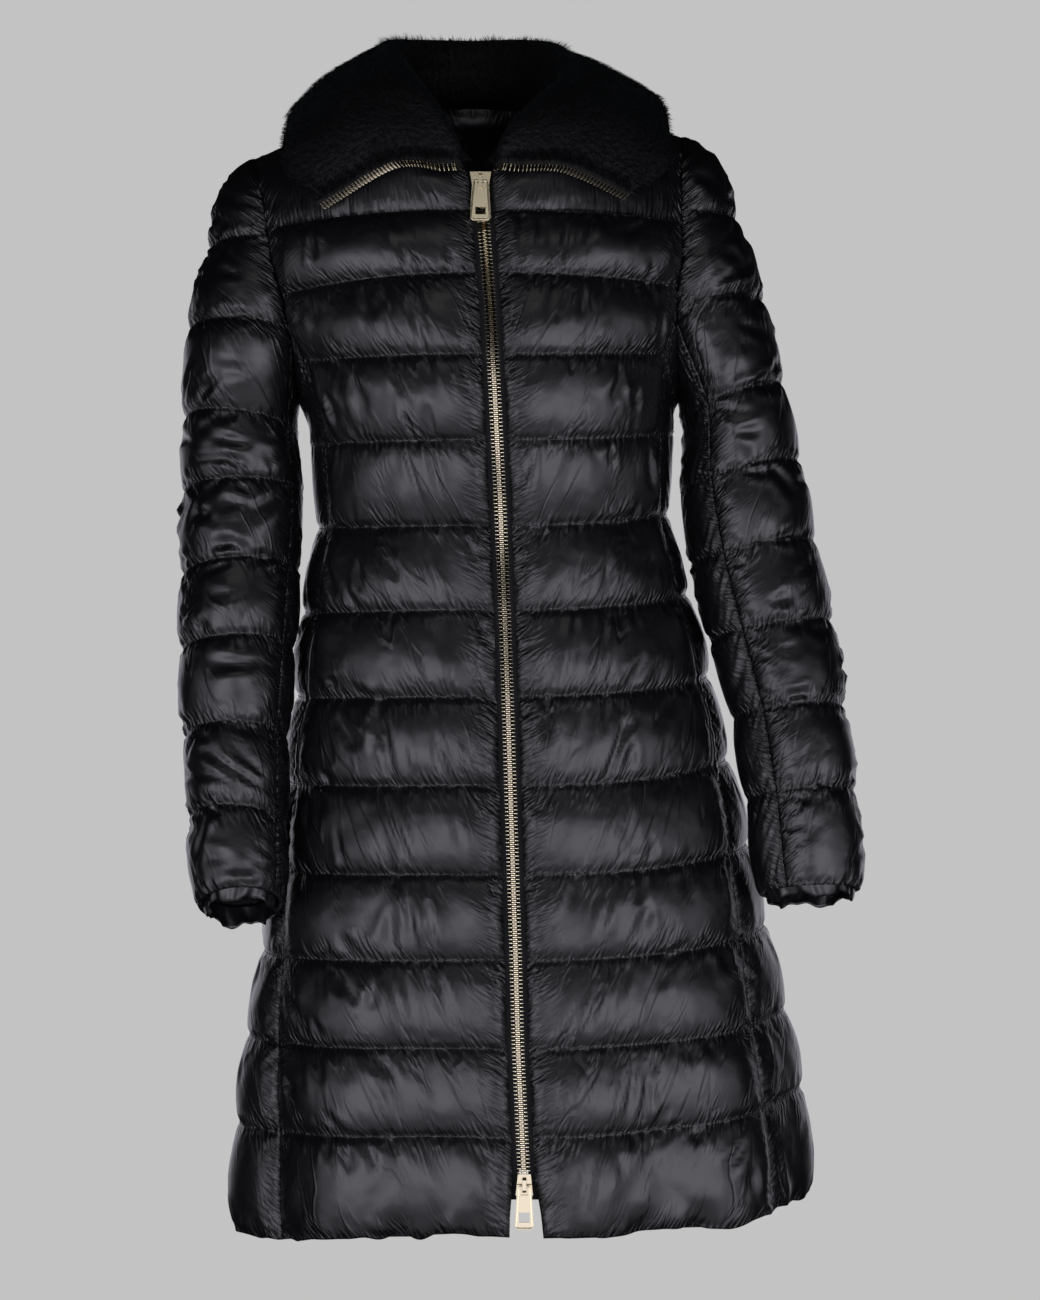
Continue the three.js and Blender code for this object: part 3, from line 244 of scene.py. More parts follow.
def neckTangent(degrees):
    a = np.radians(degrees)
    rise = np.radians(30 + 45 * np.sin(a) ** 2)
    return np.stack([-np.sin(a) * np.sin(rise), np.cos(a) * np.sin(rise), np.cos(rise)], -1)


# The armhole loop: 0 is the shoulder tip, 180 the underarm, plus is the front
def armholePoint(hole, degrees):
    a = np.radians(degrees)
    z = (hole["tipZ"] + hole["bottomZ"]) / 2 + (hole["tipZ"] - hole["bottomZ"]) / 2 * np.cos(a)
    depth = np.where(np.sin(a) > 0, hole["frontDepth"], hole["backDepth"])
    return np.stack([along(hole["x"], z), hole["tipY"] * (1 + np.cos(a)) / 2 - depth * np.sin(a), z], -1)


def armholeAngle(hole, z):
    middle = (hole["tipZ"] + hole["bottomZ"]) / 2
    return np.degrees(np.arccos(np.clip((z - middle) / ((hole["tipZ"] - hole["bottomZ"]) / 2), -1, 1)))


def seamColumn(name, isFront):
    return {"left": "seamLeft", "right": "seamRight"}[name] if isFront else "seamBack"


# A seam between the front or back and the side panel, from its start on the armhole to the hem
def bodySeam(name, isFront, level):
    hole = armholes[name]

    def ringPoint(at):
        angle = bodyAt(seamColumn(name, isFront), at)
        return bodyPoint(at, hole["side"] * (angle if isFront else 180 - angle))

    start = armholePoint(hole, (1 if isFront else -1) * armholeAngle(hole, bodyAt(name, seamLevel)))
    fade = 1 - ease((level - seamLevel) / 1.6)
    return ringPoint(level) + (start - ringPoint(seamLevel)) * fade[..., None]


# The outer edge of the front or back panel: armhole down to the seam's start, then the seam
def panelEdge(name, isFront, level):
    hole = armholes[name]
    angle = armholeAngle(hole, bodyAt(name, np.maximum(level, 1))) * np.minimum(level, 1)
    onHole = armholePoint(hole, (1 if isFront else -1) * angle)
    onSeam = bodySeam(name, isFront, np.maximum(level, seamLevel))
    return np.where((level >= seamLevel)[:, None], onSeam, onHole)


# Moves each row so that its ends sit on the seams, less and less towards the middle
def pinEnds(grid, first, last, shares, knots):
    t = np.interp(shares, knots, np.linspace(0, 1, len(knots)))[None, :, None]
    return grid + (first - grid[:, 0])[:, None] * (1 - t) ** 2 + (last - grid[:, -1])[:, None] * t * t


# From the first quilting line up and over to the top edge, turning through an angle
def shoulderArc(low, top, share, turn):
    turn = np.radians(turn)
    a = share * turn
    forward = (1 - np.cos(a)) / (1 - np.cos(turn))
    up = np.sin(a) / np.sin(turn)
    weight = np.stack(np.broadcast_arrays(share, forward, up), -1)
    return low + (top - low) * weight


def zipOpening(level):
    atNeck = (zipSizes["neckGap"] - zipSizes["gap"]) * (1 - ease(level / 0.8))
    vent = zipSizes["ventLevel"]
    return zipSizes["gap"] + atNeck + zipSizes["ventOpening"] * ease((level - vent) / (hemLevel - vent))


def zipPoint(level):
    level = np.atleast_1d(np.asarray(level, float))
    ring = bodyPoint(np.maximum(level, 1), zipAngle(np.maximum(level, 1)))
    low = bodyPoint(1.0, zipAngle(np.array(1.0)))
    x = along(zipLine, neck["frontZ"])
    top = neckPoint(math.degrees(math.asin((x - neck["middleX"]) / neck["halfWidth"])))
    arc = shoulderArc(low, top, np.clip(1 - level, 0, 1), turns["neck"])
    return np.where((level >= 1)[:, None], ring, arc)


# Degrees that the cloth turns over the top, and where each panel is pinned between its two side edges
turns = {"neck": 40, "shoulder": 88}
frontKnots = [0, 0.1, 0.2, 0.3, 0.4, 0.55, 0.7, 0.86, 1]
backKnots = [0, 0.12, 0.24, 0.36, 0.48, 0.64, 0.82, 1]
sideKnots = [0, 0.14, 0.32, 0.5, 0.68, 0.86, 1]
upperKnots = [0, 0.09, 0.22, 0.36, 0.5, 0.64, 0.78, 0.91, 1]
underKnots = [0, 0.2, 0.4, 0.6, 0.8, 1]
neckShares = {True: 0.4, False: 0.48}


# Top edge of a front or back panel: neckline, then shoulder seam to the tip
def topEdge(name, isFront, shares):
    hole = armholes[name]
    neckShare = neckShares[isFront]
    end = hole["side"] * neck["shoulderAngle"]
    if isFront:
        x = along(zipLine, neck["frontZ"]) + hole["side"] * zipSizes["neckGap"]
        start = math.degrees(math.asin((x - neck["middleX"]) / neck["halfWidth"]))
    else:
        start = 180 * hole["side"]
    onNeck = neckPoint(start + (end - start) * np.minimum(shares / neckShare, 1))
    t = np.clip((shares - neckShare) / (1 - neckShare), 0, 1)[:, None]
    return np.where(t > 0, mix(neckPoint(end), armholePoint(hole, 0.0), t), onNeck)


# Front panel, or half of the back panel from its middle, at seam level
def mainGrid(name, isFront, levels, shares):
    side = armholes[name]["side"]
    at = np.maximum(levels, 1)
    angle = bodyAt(seamColumn(name, isFront), at)
    start = zipAngle(at) if isFront else np.full(len(at), 180.0 * side)
    end = side * (angle if isFront else 180 - angle)
    knots = frontKnots if isFront else backKnots
    ring = bodyPoint(at[:, None], start[:, None] + (end - start)[:, None] * shares[None])

    def inner(level, grid):
        if isFront:
            return zipPoint(level) + side * zipOpening(level)[:, None] * np.array([1, 0, 0])
        return grid[:, 0]

    grid = pinEnds(ring, inner(at, ring), panelEdge(name, isFront, at), shares, knots)
    low = grid[levels <= 1][-1] if (levels <= 1).any() else grid[0]
    turn = turns["neck"] + (turns["shoulder"] - turns["neck"]) * ease(shares / neckShares[isFront])
    top = topEdge(name, isFront, shares)
    arc = shoulderArc(low[None], top[None], np.clip(1 - levels, 0, 1)[:, None], turn[None])
    pinned = pinEnds(arc, inner(levels, arc), panelEdge(name, isFront, levels), shares, knots)
    arc = np.where((levels > 0.02)[:, None, None], pinned, arc)
    return np.where((levels >= 1)[:, None, None], grid, arc)


def backGrid(levels, shares):
    half = np.abs(shares)
    right = mainGrid("right", False, levels, half[shares <= 0][::-1])[:, ::-1]
    left = mainGrid("left", False, levels, half[shares >= 0])
    return np.concatenate([right, left[:, 1:]], 1)


def sideGrid(name, levels, shares):
    hole = armholes[name]
    joinLevel = 4
    at = np.maximum(levels, joinLevel)
    start = bodyAt(seamColumn(name, True), at)[:, None]
    end = 180 - bodyAt("seamBack", at)[:, None]
    ring = bodyPoint(at[:, None], hole["side"] * (start + (end - start) * shares[None]))
    corner = armholeAngle(hole, bodyAt(name, seamLevel))
    onHole = armholePoint(hole, corner + (360 - 2 * corner) * shares)
    share = np.clip((levels - seamLevel) / (joinLevel - seamLevel), 0, 1)[:, None, None]
    raw = mix(onHole[None], ring, share)
    return pinEnds(raw, bodySeam(name, True, levels), bodySeam(name, False, levels), shares, sideKnots)


def sleevePoint(name, level, degrees):
    level, degrees = np.broadcast_arrays(level, degrees)
    row = {column: through(values, level - 1) for column, values in sleeveTables[name].items()}
    outer = np.stack([row["outerX"], row["y"], row["outerZ"]], -1)
    inner = np.stack([row["innerX"], row["y"], row["innerZ"]], -1)
    tilt, a = np.radians(row["tilt"]), np.radians(degrees)[..., None]
    forward = np.stack([np.zeros_like(tilt), -np.cos(tilt), np.sin(tilt)], -1)
    middle = (outer + inner) / 2
    return middle + (outer - middle) * np.cos(a) + forward * row["halfDepth"][..., None] * np.sin(a)


def sleeveStart(name, isFront, level):
    arc = armholes[name]["frontArc" if isFront else "backArc"]
    return np.interp(level, [0, 1, 2, seamLevel], arc)


def sleeveWrap(name, isFront, level):
    capWrap = 80
    full = sleeves[name]["frontSeam" if isFront else "backSeam"]
    return capWrap + (full - capWrap) * np.clip((level - 1) / (seamLevel - 1), 0, 1)


def sleeveEdge(name, isFront, level):
    way = 1 if isFront else -1
    hole = armholes[name]
    low = np.minimum(level, seamLevel)
    onHole = armholePoint(hole, way * sleeveStart(name, isFront, low))
    at = np.maximum(level, seamLevel)
    seam = sleevePoint(name, at, way * sleeveWrap(name, isFront, at))
    first = np.array(seamLevel)
    off = (armholePoint(hole, way * sleeveStart(name, isFront, first))
           - sleevePoint(name, first, way * sleeveWrap(name, isFront, first)))
    fade = (1 - ease((level - seamLevel) / 0.8))[..., None]
    return np.where((level <= seamLevel)[:, None], onHole, seam + off * fade)


def upperGrid(name, levels, shares):
    hole = armholes[name]
    capRound = 0.65
    at = np.maximum(levels, 1)
    front, back = sleeveWrap(name, True, at)[:, None], sleeveWrap(name, False, at)[:, None]
    ring = sleevePoint(name, at[:, None], front - (front + back) * shares[None])
    ring = pinEnds(ring, sleeveEdge(name, True, at), sleeveEdge(name, False, at), shares, upperKnots)
    low = ring[levels <= 1][-1]
    capFront, capBack = hole["frontArc"][0], hole["backArc"][0]
    top = armholePoint(hole, capFront - (capFront + capBack) * shares)
    level = np.clip(levels, 0, 1)[:, None]
    a = level * math.pi / 2
    weight = np.stack([capRound * np.sin(a) + (1 - capRound) * level, level,
                       capRound * (1 - np.cos(a)) + (1 - capRound) * level], -1)
    arc = top[None] + (low - top)[None] * weight
    pinned = pinEnds(arc, sleeveEdge(name, True, levels), sleeveEdge(name, False, levels), shares, upperKnots)
    arc = np.where((levels > 0)[:, None, None], pinned, arc)
    return np.where((levels >= 1)[:, None, None], ring, arc)


def underGrid(name, levels, shares):
    hole = armholes[name]
    joinLevel = 3
    at = np.maximum(levels, joinLevel)
    front, back = sleeveWrap(name, True, at)[:, None], 360 - sleeveWrap(name, False, at)[:, None]
    ring = sleevePoint(name, at[:, None], front + (back - front) * shares[None])
    start = sleeveStart(name, True, seamLevel)
    end = 360 - sleeveStart(name, False, seamLevel)
    onHole = armholePoint(hole, start + (end - start) * shares)
    share = np.clip((levels - seamLevel) / (joinLevel - seamLevel), 0, 1)[:, None, None]
    raw = mix(onHole[None], ring, share)
    return pinEnds(raw, sleeveEdge(name, True, levels), sleeveEdge(name, False, levels), shares, underKnots)


# Unit normals of a grid of points, turned over where the sign is -1
def gridNormals(grid, sign):
    return unit(np.cross(np.gradient(grid, axis=0), np.gradient(grid, axis=1))) * sign


# Smooth repeatable noise between -1 and 1, with features about one unit across
lattice = np.random.default_rng(11).uniform(-1, 1, (128, 128))


def noise(x, y):
    i, j = np.floor(x).astype(int), np.floor(y).astype(int)
    f, g = ease(x - i), ease(y - j)
    corner = [lattice[(i + a) % 128, (j + b) % 128] for a in (0, 1) for b in (0, 1)]
    return mix(mix(corner[0], corner[1], g), mix(corner[2], corner[3], g), f)


# Mesh from points in millimetres and faces as lists of point numbers
def addMesh(name, points, faces, material, smooth=True, maps=None, flatFrom=None):
    mesh = bpy.data.meshes.new(name)
    counts = np.array([len(face) for face in faces])
    loops = np.concatenate([np.asarray(face, dtype=np.int32) for face in faces])
    mesh.vertices.add(len(points))
    mesh.vertices.foreach_set("co", (np.asarray(points, float) * 0.001).ravel())
    mesh.loops.add(len(loops))
    mesh.loops.foreach_set("vertex_index", loops)
    mesh.polygons.add(len(faces))
    mesh.polygons.foreach_set("loop_start", np.concatenate([[0], np.cumsum(counts)[:-1]]).astype(np.int32))
    mesh.polygons.foreach_set("loop_total", counts.astype(np.int32))
    shaded = np.full(len(faces), smooth)
    if flatFrom is not None:
        shaded[flatFrom:] = False
    mesh.polygons.foreach_set("use_smooth", shaded)
    for key, values in (maps or {}).items():
        layer = mesh.uv_layers.new(name=key)
        layer.data.foreach_set("uv", values[loops].astype(np.float32).ravel())
    mesh.update(calc_edges=True)
    mesh.validate()
    mesh.materials.append(material)
    obj = bpy.data.objects.new(name, mesh)
    bpy.context.scene.collection.objects.link(obj)
    return obj


# Faces between closed rings of points, and between the rows of an open grid
def ringFaces(rings, sides):
    return [[i * sides + k, i * sides + (k + 1) % sides, (i + 1) * sides + (k + 1) % sides,
             (i + 1) * sides + k] for i in range(rings - 1) for k in range(sides)]


def gridFaces(rows, columns, offset=0, flip=False):
    i, j = np.meshgrid(np.arange(rows - 1), np.arange(columns - 1), indexing="ij")
    a = (offset + i * columns + j).ravel()
    quads = np.stack([a, a + columns, a + columns + 1, a + 1], 1)
    return quads[:, ::-1] if flip else quads


# Every step-th number below count, and the last one
def picked(count, step):
    return np.unique(np.append(np.arange(0, count, step), count - 1))


# Closed cloth: a fine outer grid, a coarser inner one, and a rim between them
def addWall(name, outer, inner, material, step, maps=None):
    rows, columns = outer.shape[:2]
    pickRows, pickColumns = picked(rows, step), picked(columns, step)
    small = inner[np.ix_(pickRows, pickColumns)]
    first = rows * columns
    faces = list(gridFaces(rows, columns)) + list(gridFaces(len(pickRows), len(pickColumns), first, True))
    width = len(pickColumns)
    flatFrom = len(faces)

    def rim(outerLine, innerLine, picks, flip):
        for k in range(len(picks) - 1):
            face = list(outerLine[picks[k]:picks[k + 1] + 1]) + [innerLine[k + 1], innerLine[k]]
            faces.append(face[::-1] if flip else face)

    number = np.arange(rows * columns).reshape(rows, columns)
    inside = first + np.arange(len(pickRows) * width).reshape(len(pickRows), width)
    rim(number[0], inside[0], pickColumns, False)
    rim(number[-1], inside[-1], pickColumns, True)
    rim(number[:, 0], inside[:, 0], pickRows, True)
    rim(number[:, -1], inside[:, -1], pickRows, False)
    points = np.concatenate([outer.reshape(-1, 3), small.reshape(-1, 3)])
    both = {key: np.concatenate([values.reshape(-1, 2), values[np.ix_(pickRows, pickColumns)].reshape(-1, 2)])
            for key, values in (maps or {}).items()}
    return addMesh(name, points, faces, material, maps=both, flatFrom=flatFrom)


# Materials
def linear(value):
    value = value / 255
    return value / 12.92 if value <= 0.04045 else ((value + 0.055) / 1.055) ** 2.4


def colour(code):
    return [linear(int(code[i:i + 2], 16)) for i in (1, 3, 5)] + [1]


# Adds a shader node; an input given as a node is linked to that node's first output
def addNode(tree, kind, inputs=None, **settings):
    node = tree.nodes.new("ShaderNode" + kind)
    for key, value in settings.items():
        setattr(node, key, value)
    for key, value in (inputs or {}).items():
        source = value.outputs[0] if isinstance(value, bpy.types.Node) else value
        if isinstance(source, bpy.types.NodeSocket):
            tree.links.new(source, node.inputs[key])
        else:
            node.inputs[key].default_value = source
    return node


def newMaterial(name, **inputs):
    material = bpy.data.materials.new(name)
    material.use_nodes = True
    shader = material.node_tree.nodes["Principled BSDF"]
    for key, value in inputs.items():
        shader.inputs[key.replace("_", " ")].default_value = value
    return material, material.node_tree, shader


# Satin-woven black nylon over down: a broad grey sheen where it faces the lights, black elsewhere,
# with fine puckers running off every quilting line and seam
def nylonMaterial():
    # sizes in mm, a channel and how far puckers reach off a line in metres, as the maps are
    nylon = {"base": "#08080b", "roughness": 0.38, "crinkle": 14, "wrinkle": 38, "pucker": 5.2, "reach": 9,
             "slant": 0.4, "channel": 0.07, "drag": 20, "dragLength": 75, "drift": 60.0, "edgeDrift": 110.0,
             "lineShift": 7.3, "lineReach": (0.024, -0.006), "leastReach": 0.003, "creaseDepth": 0.3}
    # strength and distance in metres of each relief
    relief = {"folds": (0.42, 0.006), "crinkle": (0.2, 0.0012), "puckers": (0.9, 0.009)}
    material, tree, shader = newMaterial(
        "nylon", Base_Color=colour(nylon["base"]), Roughness=nylon["roughness"], IOR=1.5, Coat_Weight=0.3,
        Coat_Roughness=0.26)
    place = addNode(tree, "TexCoord").outputs["Object"]
    cut = addNode(tree, "SeparateXYZ", {0: addNode(tree, "UVMap", uv_map="cut")})
    edges = addNode(tree, "SeparateXYZ", {0: addNode(tree, "UVMap", uv_map="edges")})
    across, level = cut.outputs[:2]

    # distance from the nearest quilting line in metres, below it positive
    line = addNode(tree, "Math", {0: level}, operation="ROUND")
    below = addNode(tree, "Math", {0: level, 1: line}, operation="SUBTRACT")
    off = addNode(tree, "Math", {0: below, 1: nylon["channel"]}, operation="MULTIPLY")
    # streaks that leave the line aslant, no two lines alike
    shifted = addNode(tree, "Math", {0: off, 1: nylon["slant"], 2: across}, operation="MULTIPLY_ADD")
    x = addNode(tree, "Math", {0: shifted, 1: 1000 / nylon["pucker"]}, operation="MULTIPLY")
    y = addNode(tree, "Math", {0: line, 1: nylon["lineShift"]}, operation="MULTIPLY")
    y = addNode(tree, "Math", {0: off, 1: nylon["drift"], 2: y}, operation="MULTIPLY_ADD")
    vector = addNode(tree, "CombineXYZ", {0: x, 1: y})
    streak = addNode(tree, "TexNoise", {"Vector": vector, "Scale": 1.0, "Detail": 0.6}, noise_dimensions="2D")
    longer = addNode(tree, "TexNoise", {"Vector": vector, "Scale": 0.3, "Detail": 0.0}, noise_dimensions="2D")
    factor, offset = nylon["lineReach"]
    reach = addNode(tree, "Math", {0: longer, 1: factor, 2: offset}, operation="MULTIPLY_ADD")
    reach = addNode(tree, "Math", {0: reach, 1: nylon["leastReach"]}, operation="MAXIMUM")
    away = addNode(tree, "Math", {0: off}, operation="ABSOLUTE")
    away = addNode(tree, "Math", {0: away, 1: reach}, operation="DIVIDE")
    streaks = [(streak, addNode(tree, "Math", {0: away, 1: -1.0}, operation="MULTIPLY"))]
    # the same off the zip and the side seams, running across the coat
    perLevel = 1000 * nylon["channel"] / nylon["pucker"]
    down = addNode(tree, "Math", {0: level, 1: perLevel}, operation="MULTIPLY")
    for edge in edges.outputs[:2]:
        x = addNode(tree, "Math", {0: edge, 1: nylon["drift"]}, operation="MULTIPLY")
        y = addNode(tree, "Math", {0: edge, 1: nylon["edgeDrift"], 2: down}, operation="MULTIPLY_ADD")
        vector = addNode(tree, "CombineXYZ", {0: x, 1: y})
        streak = addNode(tree, "TexNoise", {"Vector": vector, "Scale": 1.0, "Detail": 1.5},
                         noise_dimensions="2D")
        away = addNode(tree, "Math", {0: edge, 1: -1000 / nylon["reach"]}, operation="MULTIPLY")
        streaks.append((streak, away))
    # each streak is a ridge on both sides of the noise's middle, and fades with the distance
    ridges = []
    for streak, away in streaks:
        fade = addNode(tree, "Math", {0: away}, operation="EXPONENT")
        ridge = addNode(tree, "Math", {0: streak, 1: 0.5}, operation="SUBTRACT")
        ridge = addNode(tree, "Math", {0: ridge}, operation="ABSOLUTE")
        ridges.append(addNode(tree, "Math", {0: ridge, 1: fade}, operation="MULTIPLY"))
    puckers = addNode(tree, "Math", {0: ridges[1], 1: ridges[2]}, operation="ADD")
    puckers = addNode(tree, "Math", {0: ridges[0], 1: puckers}, operation="ADD")

    fine = addNode(tree, "TexNoise", {"Vector": place, "Scale": 1000 / nylon["crinkle"], "Detail": 3,
                                      "Roughness": 0.55})
    broad = addNode(tree, "TexNoise", {"Vector": place, "Scale": 1000 / nylon["wrinkle"], "Detail": 2})
    # a few thin sharp creases run down each panel with the same slant as the puckers
    run = addNode(tree, "Math", {0: level, 1: nylon["channel"]}, operation="MULTIPLY")
    x = addNode(tree, "Math", {0: run, 1: nylon["slant"], 2: across}, operation="MULTIPLY_ADD")
    x = addNode(tree, "Math", {0: x, 1: 1000 / nylon["drag"]}, operation="MULTIPLY")
    y = addNode(tree, "Math", {0: run, 1: 1000 / nylon["dragLength"]}, operation="MULTIPLY")
    vector = addNode(tree, "CombineXYZ", {0: x, 1: y})
    drag = addNode(tree, "TexNoise", {"Vector": vector, "Scale": 1.0, "Detail": 1.0}, noise_dimensions="2D")
    some = addNode(tree, "TexNoise", {"Vector": vector, "Scale": 0.6, "Detail": 0.0}, noise_dimensions="2D")
    # a crease lies where the first noise passes 0.42, and only where the second is high
    crease = addNode(tree, "Math", {0: drag, 1: 0.42}, operation="SUBTRACT")
    crease = addNode(tree, "Math", {0: crease}, operation="ABSOLUTE")
    crease = addNode(tree, "Math", {0: crease, 1: -16.0, 2: 1.0}, operation="MULTIPLY_ADD")
    crease = addNode(tree, "Math", {0: crease, 1: 0.0}, operation="MAXIMUM")
    chosen = addNode(tree, "Math", {0: some, 1: 7.0, 2: -3.4}, operation="MULTIPLY_ADD")
    chosen = addNode(tree, "Math", {0: chosen, 1: 0.0}, operation="MAXIMUM")
    chosen = addNode(tree, "Math", {0: chosen, 1: 1.0}, operation="MINIMUM")
    folds = addNode(tree, "Math", {0: crease, 1: chosen}, operation="MULTIPLY")
    folds = addNode(tree, "Math", {0: folds, 1: -nylon["creaseDepth"], 2: broad}, operation="MULTIPLY_ADD")

    below = {}
    for key, height in (("folds", folds), ("crinkle", fine), ("puckers", puckers)):
        strength, distance = relief[key]
        bump = addNode(tree, "Bump", {"Height": height, "Strength": strength, "Distance": distance, **below})
        below = {"Normal": bump}
    tree.links.new(bump.outputs["Normal"], shader.inputs["Normal"])
    return material


# Soft black short-haired synthetic fur: nearly no highlight on its mass, a faint cool sheen along the hairs
def furMaterial():
    material, tree, shader = newMaterial(
        "fur", Base_Color=colour("#040405"), Roughness=0.6, IOR=1.5, Sheen_Weight=0.06, Sheen_Roughness=0.4,
        Sheen_Tint=colour("#8fa3a8"), Specular_IOR_Level=0.2)
    place = addNode(tree, "TexCoord").outputs["Object"]
    # 260 to a metre, so a tuft at the roots is about 4 mm across
    tufts = addNode(tree, "TexNoise", {"Vector": place, "Scale": 260.0, "Detail": 4})
    bump = addNode(tree, "Bump", {"Height": tufts, "Strength": 0.8, "Distance": 0.003})
    tree.links.new(bump.outputs["Normal"], shader.inputs["Normal"])
    return material


# Pale gold brass, tumbled and lacquered: bright warm highlights with dark gaps
def brassMaterial():
    return newMaterial("brass", Base_Color=colour("#dccfb2"), Roughness=0.25, Metallic=1)[0]


# Black polyester zip tape: dense and matt, with hardly a highlight
def tapeMaterial():
    return newMaterial("tape", Base_Color=colour("#060607"), Roughness=0.85)[0]


# Black polyester sewing thread: a dull glint, a shade lighter than the nylon
def threadMaterial():
    return newMaterial("thread", Base_Color=colour("#0d0d0f"), Roughness=0.6)[0]


nylon, furry, brass = nylonMaterial(), furMaterial(), brassMaterial()
tapeCloth, thread = tapeMaterial(), threadMaterial()


# Quilting. The swell is 0 at the two lines of a channel and fullest a little below the middle.
def swell(v):
    return np.sin(math.pi * np.clip(v, 0, 1) ** 1.12) ** 0.6


def levelsBetween(first, last, perChannel):
    levels = []
    for line in range(int(first), last):
        v = np.arange(perChannel) / perChannel
        v = 0.45 * v + 0.55 * (0.5 - 0.5 * np.cos(math.pi * v))
        levels += [line + x for x in v if line + x > first + 1e-6 or line + x == first]
    if levels[0] != first:
        levels = [first] + levels
    return np.array(levels + [last])


# A thin trough pressed into the cloth, with a low ridge on each side, narrow at its root
def pressCrease(field, across, down, crease, bothEnds=False):
    x0, y0, angle, length, width, depth = crease
    ux, uy = math.cos(angle), math.sin(angle)
    near = (np.abs(across - x0) < length + 12) & (np.abs(down - y0) < length + 12)
    dx, dy = across[near] - x0, down[near] - y0
    t = (dx * ux + dy * uy) / length
    side = dx * -uy + dy * ux
    broad = width * (0.8 + 1.2 * np.clip(t, 0, 1))
    fade = np.clip(t * length / 3 + 0.4, 0, 1) * np.clip(1 - t, 0, 1) ** 1.3 * (t > -0.1)
    if bothEnds:
        fade = np.sin(math.pi * np.clip(t, 0, 1))
    shape = -np.exp(-(side / broad) ** 2) + 0.5 * np.exp(-((np.abs(side) - 2 * broad) / broad) ** 2)
    field[near] += depth * shape * fade


# How puckers are drawn, in mm: from the quilting lines, from the side edges, and the longer folds
linePuckers = {"pitch": (5, 15), "skipped": 0.12, "lean": (0.35, 0.22), "leanAtEdge": 0.3, "edgeReach": 20,
               "length": (7, 17), "longShare": 0.2, "longer": (6, 22), "width": (1.8, 3.0),
               "depth": (0.5, 1.5)}
edgePuckers = {"pitch": (5, 12), "lean": 0.35, "length": (9, 24), "longShare": 0.25, "longer": (8, 26),
               "width": (1.4, 2.6), "depth": (0.5, 1.4)}
bendFolds = {"length": (20, 48), "width": (1.9, 3.6), "depth": (0.7, 1.5)}


